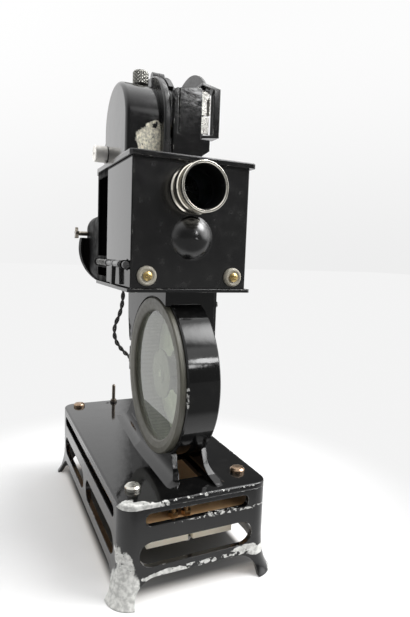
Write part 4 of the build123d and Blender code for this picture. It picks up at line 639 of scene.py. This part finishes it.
def make_spring():
    """The latch rod's coil spring."""
    points = []
    count = SPRING_TURNS * SPRING_STEPS
    for index in range(count + 1):
        angle = 2 * math.pi * index / SPRING_STEPS
        points.append(Vector((
            SPRING_X + SPRING_RADIUS * math.cos(angle),
            SPRING_FRONT + (SPRING_REAR - SPRING_FRONT) * index / count,
            SPRING_Z + SPRING_RADIUS * math.sin(angle),
        )))
    vertices, faces = swept(points, WIRE_RADIUS, WIRE_SIDES)
    wire = metal("spring_wire", 153.0, (0.34, 0.34, 0.33), 0.3, 0.3)
    coil = mesh_piece("latch_coil", vertices, faces, wire)
    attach(coil, "stand")
    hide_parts("latch_spring")


BELT_BANDS = 9000.0
BELT_STEEL = (0.46, 0.45, 0.43)
BELT_RUST = (0.22, 0.18, 0.14)


def make_belt():
    """The spring belt's own finish: close coils shown as fine bands."""
    s = Shade("belt_coils")
    split = s.add("ShaderNodeSeparateXYZ")
    s.feed(split.inputs[0], s.place)
    bands = s.calc("SINE", s.calc("MULTIPLY", split.outputs[2], BELT_BANDS))
    rust = s.noise(200.0, 4.0, 155.0)
    colour = s.blend(s.ramp(rust, 0.4, 0.7), BELT_STEEL, BELT_RUST)
    belt = s.surface(Base_Color=colour, Metallic=0.9, Roughness=s.ramp(rust, 0.3, 0.7, 0.3, 0.5),
                     Normal=s.bump(bands, 0.0001, 0.8))
    dress(nodes["spring_belt"], belt)


# Stage, in metres

FLOOR_HALF = 6.0
FLOOR_TOP = -0.0002
FLOOR_PALE = grey(0.80)
FLOOR_CLOUD = grey(0.77)
FLOOR_GRAIN = grey(0.70)
# Painted shade: the floor's tone under the base, seen by the camera only
FLOOR_SHADE_UNDER_BASE = grey(0.04)
FLOOR_IN_FRONT = grey(0.17)
FLOOR_GLOW = grey(0.90)
FRONT_START = -0.14
FRONT_FULL = -0.20
UNDER_HALF_WIDTH = (0.046, 0.040)
UNDER_HALF_LENGTH = (0.088, 0.080)
GLOW_START = 0.05
GLOW_FULL = 0.24


def make_stage():
    """A pale floor that glows further out, has painted shade under the base for the camera, and reflects
    darker in front of it.
    """
    s = Shade("studio_floor")
    cloudy = s.noise(2.2, 3.0, 161.0)
    grain = s.noise(60.0, 4.0, 163.0)
    pale = s.blend(s.ramp(cloudy, 0.3, 0.7), FLOOR_PALE, FLOOR_CLOUD)
    pale = s.blend(s.calc("MULTIPLY", s.ramp(grain, 0.4, 0.8), 0.1), pale, FLOOR_GRAIN)
    rays = s.add("ShaderNodeLightPath")
    split = s.add("ShaderNodeSeparateXYZ")
    s.feed(split.inputs[0], s.place)
    front = s.ramp(split.outputs[1], FRONT_START, FRONT_FULL)
    # Painted shade: the floor under the base is darkened for camera rays only, in place of the base's own
    # shadow
    shade_under_base = s.ramp(s.calc("ABSOLUTE", split.outputs[0]), *UNDER_HALF_WIDTH)
    shade_under_base = s.calc("MULTIPLY", shade_under_base, s.ramp(s.calc("ABSOLUTE", split.outputs[1]), *UNDER_HALF_LENGTH))
    shade_under_base = s.calc("MULTIPLY", shade_under_base, rays.outputs["Is Camera Ray"])
    pale = s.blend(shade_under_base, pale, FLOOR_SHADE_UNDER_BASE)
    unseen = s.calc("MULTIPLY", front, s.calc("SUBTRACT", 1.0, rays.outputs["Is Camera Ray"]))
    diffuse = s.add("ShaderNodeBsdfDiffuse")
    s.feed(diffuse.inputs[0], s.blend(unseen, pale, FLOOR_IN_FRONT))
    glow = s.add("ShaderNodeEmission")
    s.feed(glow.inputs[0], FLOOR_GLOW)
    far = s.axis_distance(Vector((0, 0, 0)), 2)[0]
    out = s.calc("MULTIPLY", s.ramp(far, GLOW_START, GLOW_FULL), s.calc("SUBTRACT", 1.0, unseen))
    mixed = s.add("ShaderNodeMixShader")
    s.feed(mixed.inputs[0], out)
    s.tree.links.new(diffuse.outputs[0], mixed.inputs[1])
    s.tree.links.new(glow.outputs[0], mixed.inputs[2])
    output = s.add("ShaderNodeOutputMaterial")
    s.tree.links.new(mixed.outputs[0], output.inputs["Surface"])
    corners = [(x * FLOOR_HALF, y * FLOOR_HALF, FLOOR_TOP) for x, y in ((-1, -1), (1, -1), (1, 1), (-1, 1))]
    mesh_piece("studio_floor", corners, [(0, 1, 2, 3)], s.material, smooth=False)


# Lights that reflections and shading see: direction, where each fades in, where it is full, and strength
LIGHTS = (
    ((0, 0, 1), 0.45, 0.95, 0.55),
    ((0.432, -0.795, 0.425), 0.9980, 0.9990, 17.0),
    ((0.380, -0.865, 0.335), 0.9990, 0.9996, 13.0),
    ((0.43, -0.72, 0.55), 0.975, 0.995, 1.5),
    ((0.39, 0.17, 0.905), 0.9955, 0.9985, 9.0),
    ((0.63, -0.28, 0.725), 0.925, 0.985, 11.0),
    ((0.85, -0.33, 0.41), 0.88, 0.98, 2.4),
)
LIGHT_WHITE = (1.0, 1.0, 1.0, 1.0)


def make_world():
    """White surroundings, dimmer behind the camera and at the right rear, with a few bright lights."""
    world = bpy.data.worlds.new("studio")
    bpy.context.scene.world = world
    world.use_nodes = True
    tree = world.node_tree
    tree.nodes.clear()

    def add(kind, **settings):
        node = tree.nodes.new(kind)
        for key, value in settings.items():
            setattr(node, key, value)
        return node

    def calc(operation, first, second):
        node = add("ShaderNodeMath", operation=operation)
        for socket, value in zip(node.inputs, (first, second)):
            if isinstance(value, bpy.types.NodeSocket):
                tree.links.new(value, socket)
            else:
                socket.default_value = value
        return node.outputs[0]

    def facing(direction, low, high, start, end):
        """A value that changes smoothly with the angle to a direction."""
        dot = add("ShaderNodeVectorMath", operation="DOT_PRODUCT")
        tree.links.new(coordinates.outputs["Generated"], dot.inputs[0])
        dot.inputs[1].default_value = Vector(direction).normalized()
        node = add("ShaderNodeMapRange", interpolation_type="SMOOTHSTEP")
        tree.links.new(dot.outputs["Value"], node.inputs["Value"])
        for key, value in (("From Min", low), ("From Max", high), ("To Min", start), ("To Max", end)):
            node.inputs[key].default_value = value
        return node.outputs[0]

    coordinates = add("ShaderNodeTexCoord")
    around = facing((0, -1, 0), -0.15, 0.75, 1.2, 0.18)
    right_half = facing((0.961, -0.276, 0), -0.02, 0.03, 0.0, 0.88)
    rear = facing((0, 1, 0), 0.2, 0.4, 0.0, 1.0)
    dark = calc("MULTIPLY", right_half, rear)
    dark = calc("MULTIPLY", dark, facing((0, 0, 1), 0.80, 0.60, 0.0, 1.0))
    total = calc("MULTIPLY", around, calc("SUBTRACT", 1.0, dark))
    for direction, low, high, strength in LIGHTS:
        total = calc("ADD", total, facing(direction, low, high, 0.0, strength))
    light = add("ShaderNodeBackground")
    tree.links.new(total, light.inputs["Strength"])
    light.inputs[0].default_value = LIGHT_WHITE
    seen = add("ShaderNodeBackground")
    seen.inputs[0].default_value = LIGHT_WHITE
    rise = facing((0, 0, 1), -0.05, 0.42, 0.90, 1.02)
    aside = facing((-1, 0.4, 0), -0.1, 0.6, -0.045, 0.0)
    tree.links.new(calc("ADD", rise, aside), seen.inputs["Strength"])
    rays = add("ShaderNodeLightPath")
    mixed = add("ShaderNodeMixShader")
    tree.links.new(rays.outputs["Is Camera Ray"], mixed.inputs[0])
    tree.links.new(light.outputs[0], mixed.inputs[1])
    tree.links.new(seen.outputs[0], mixed.inputs[2])
    output = add("ShaderNodeOutputWorld")
    tree.links.new(mixed.outputs[0], output.inputs["Surface"])


make_camera()
make_flex()
make_spring()
make_belt()
make_stage()
make_world()
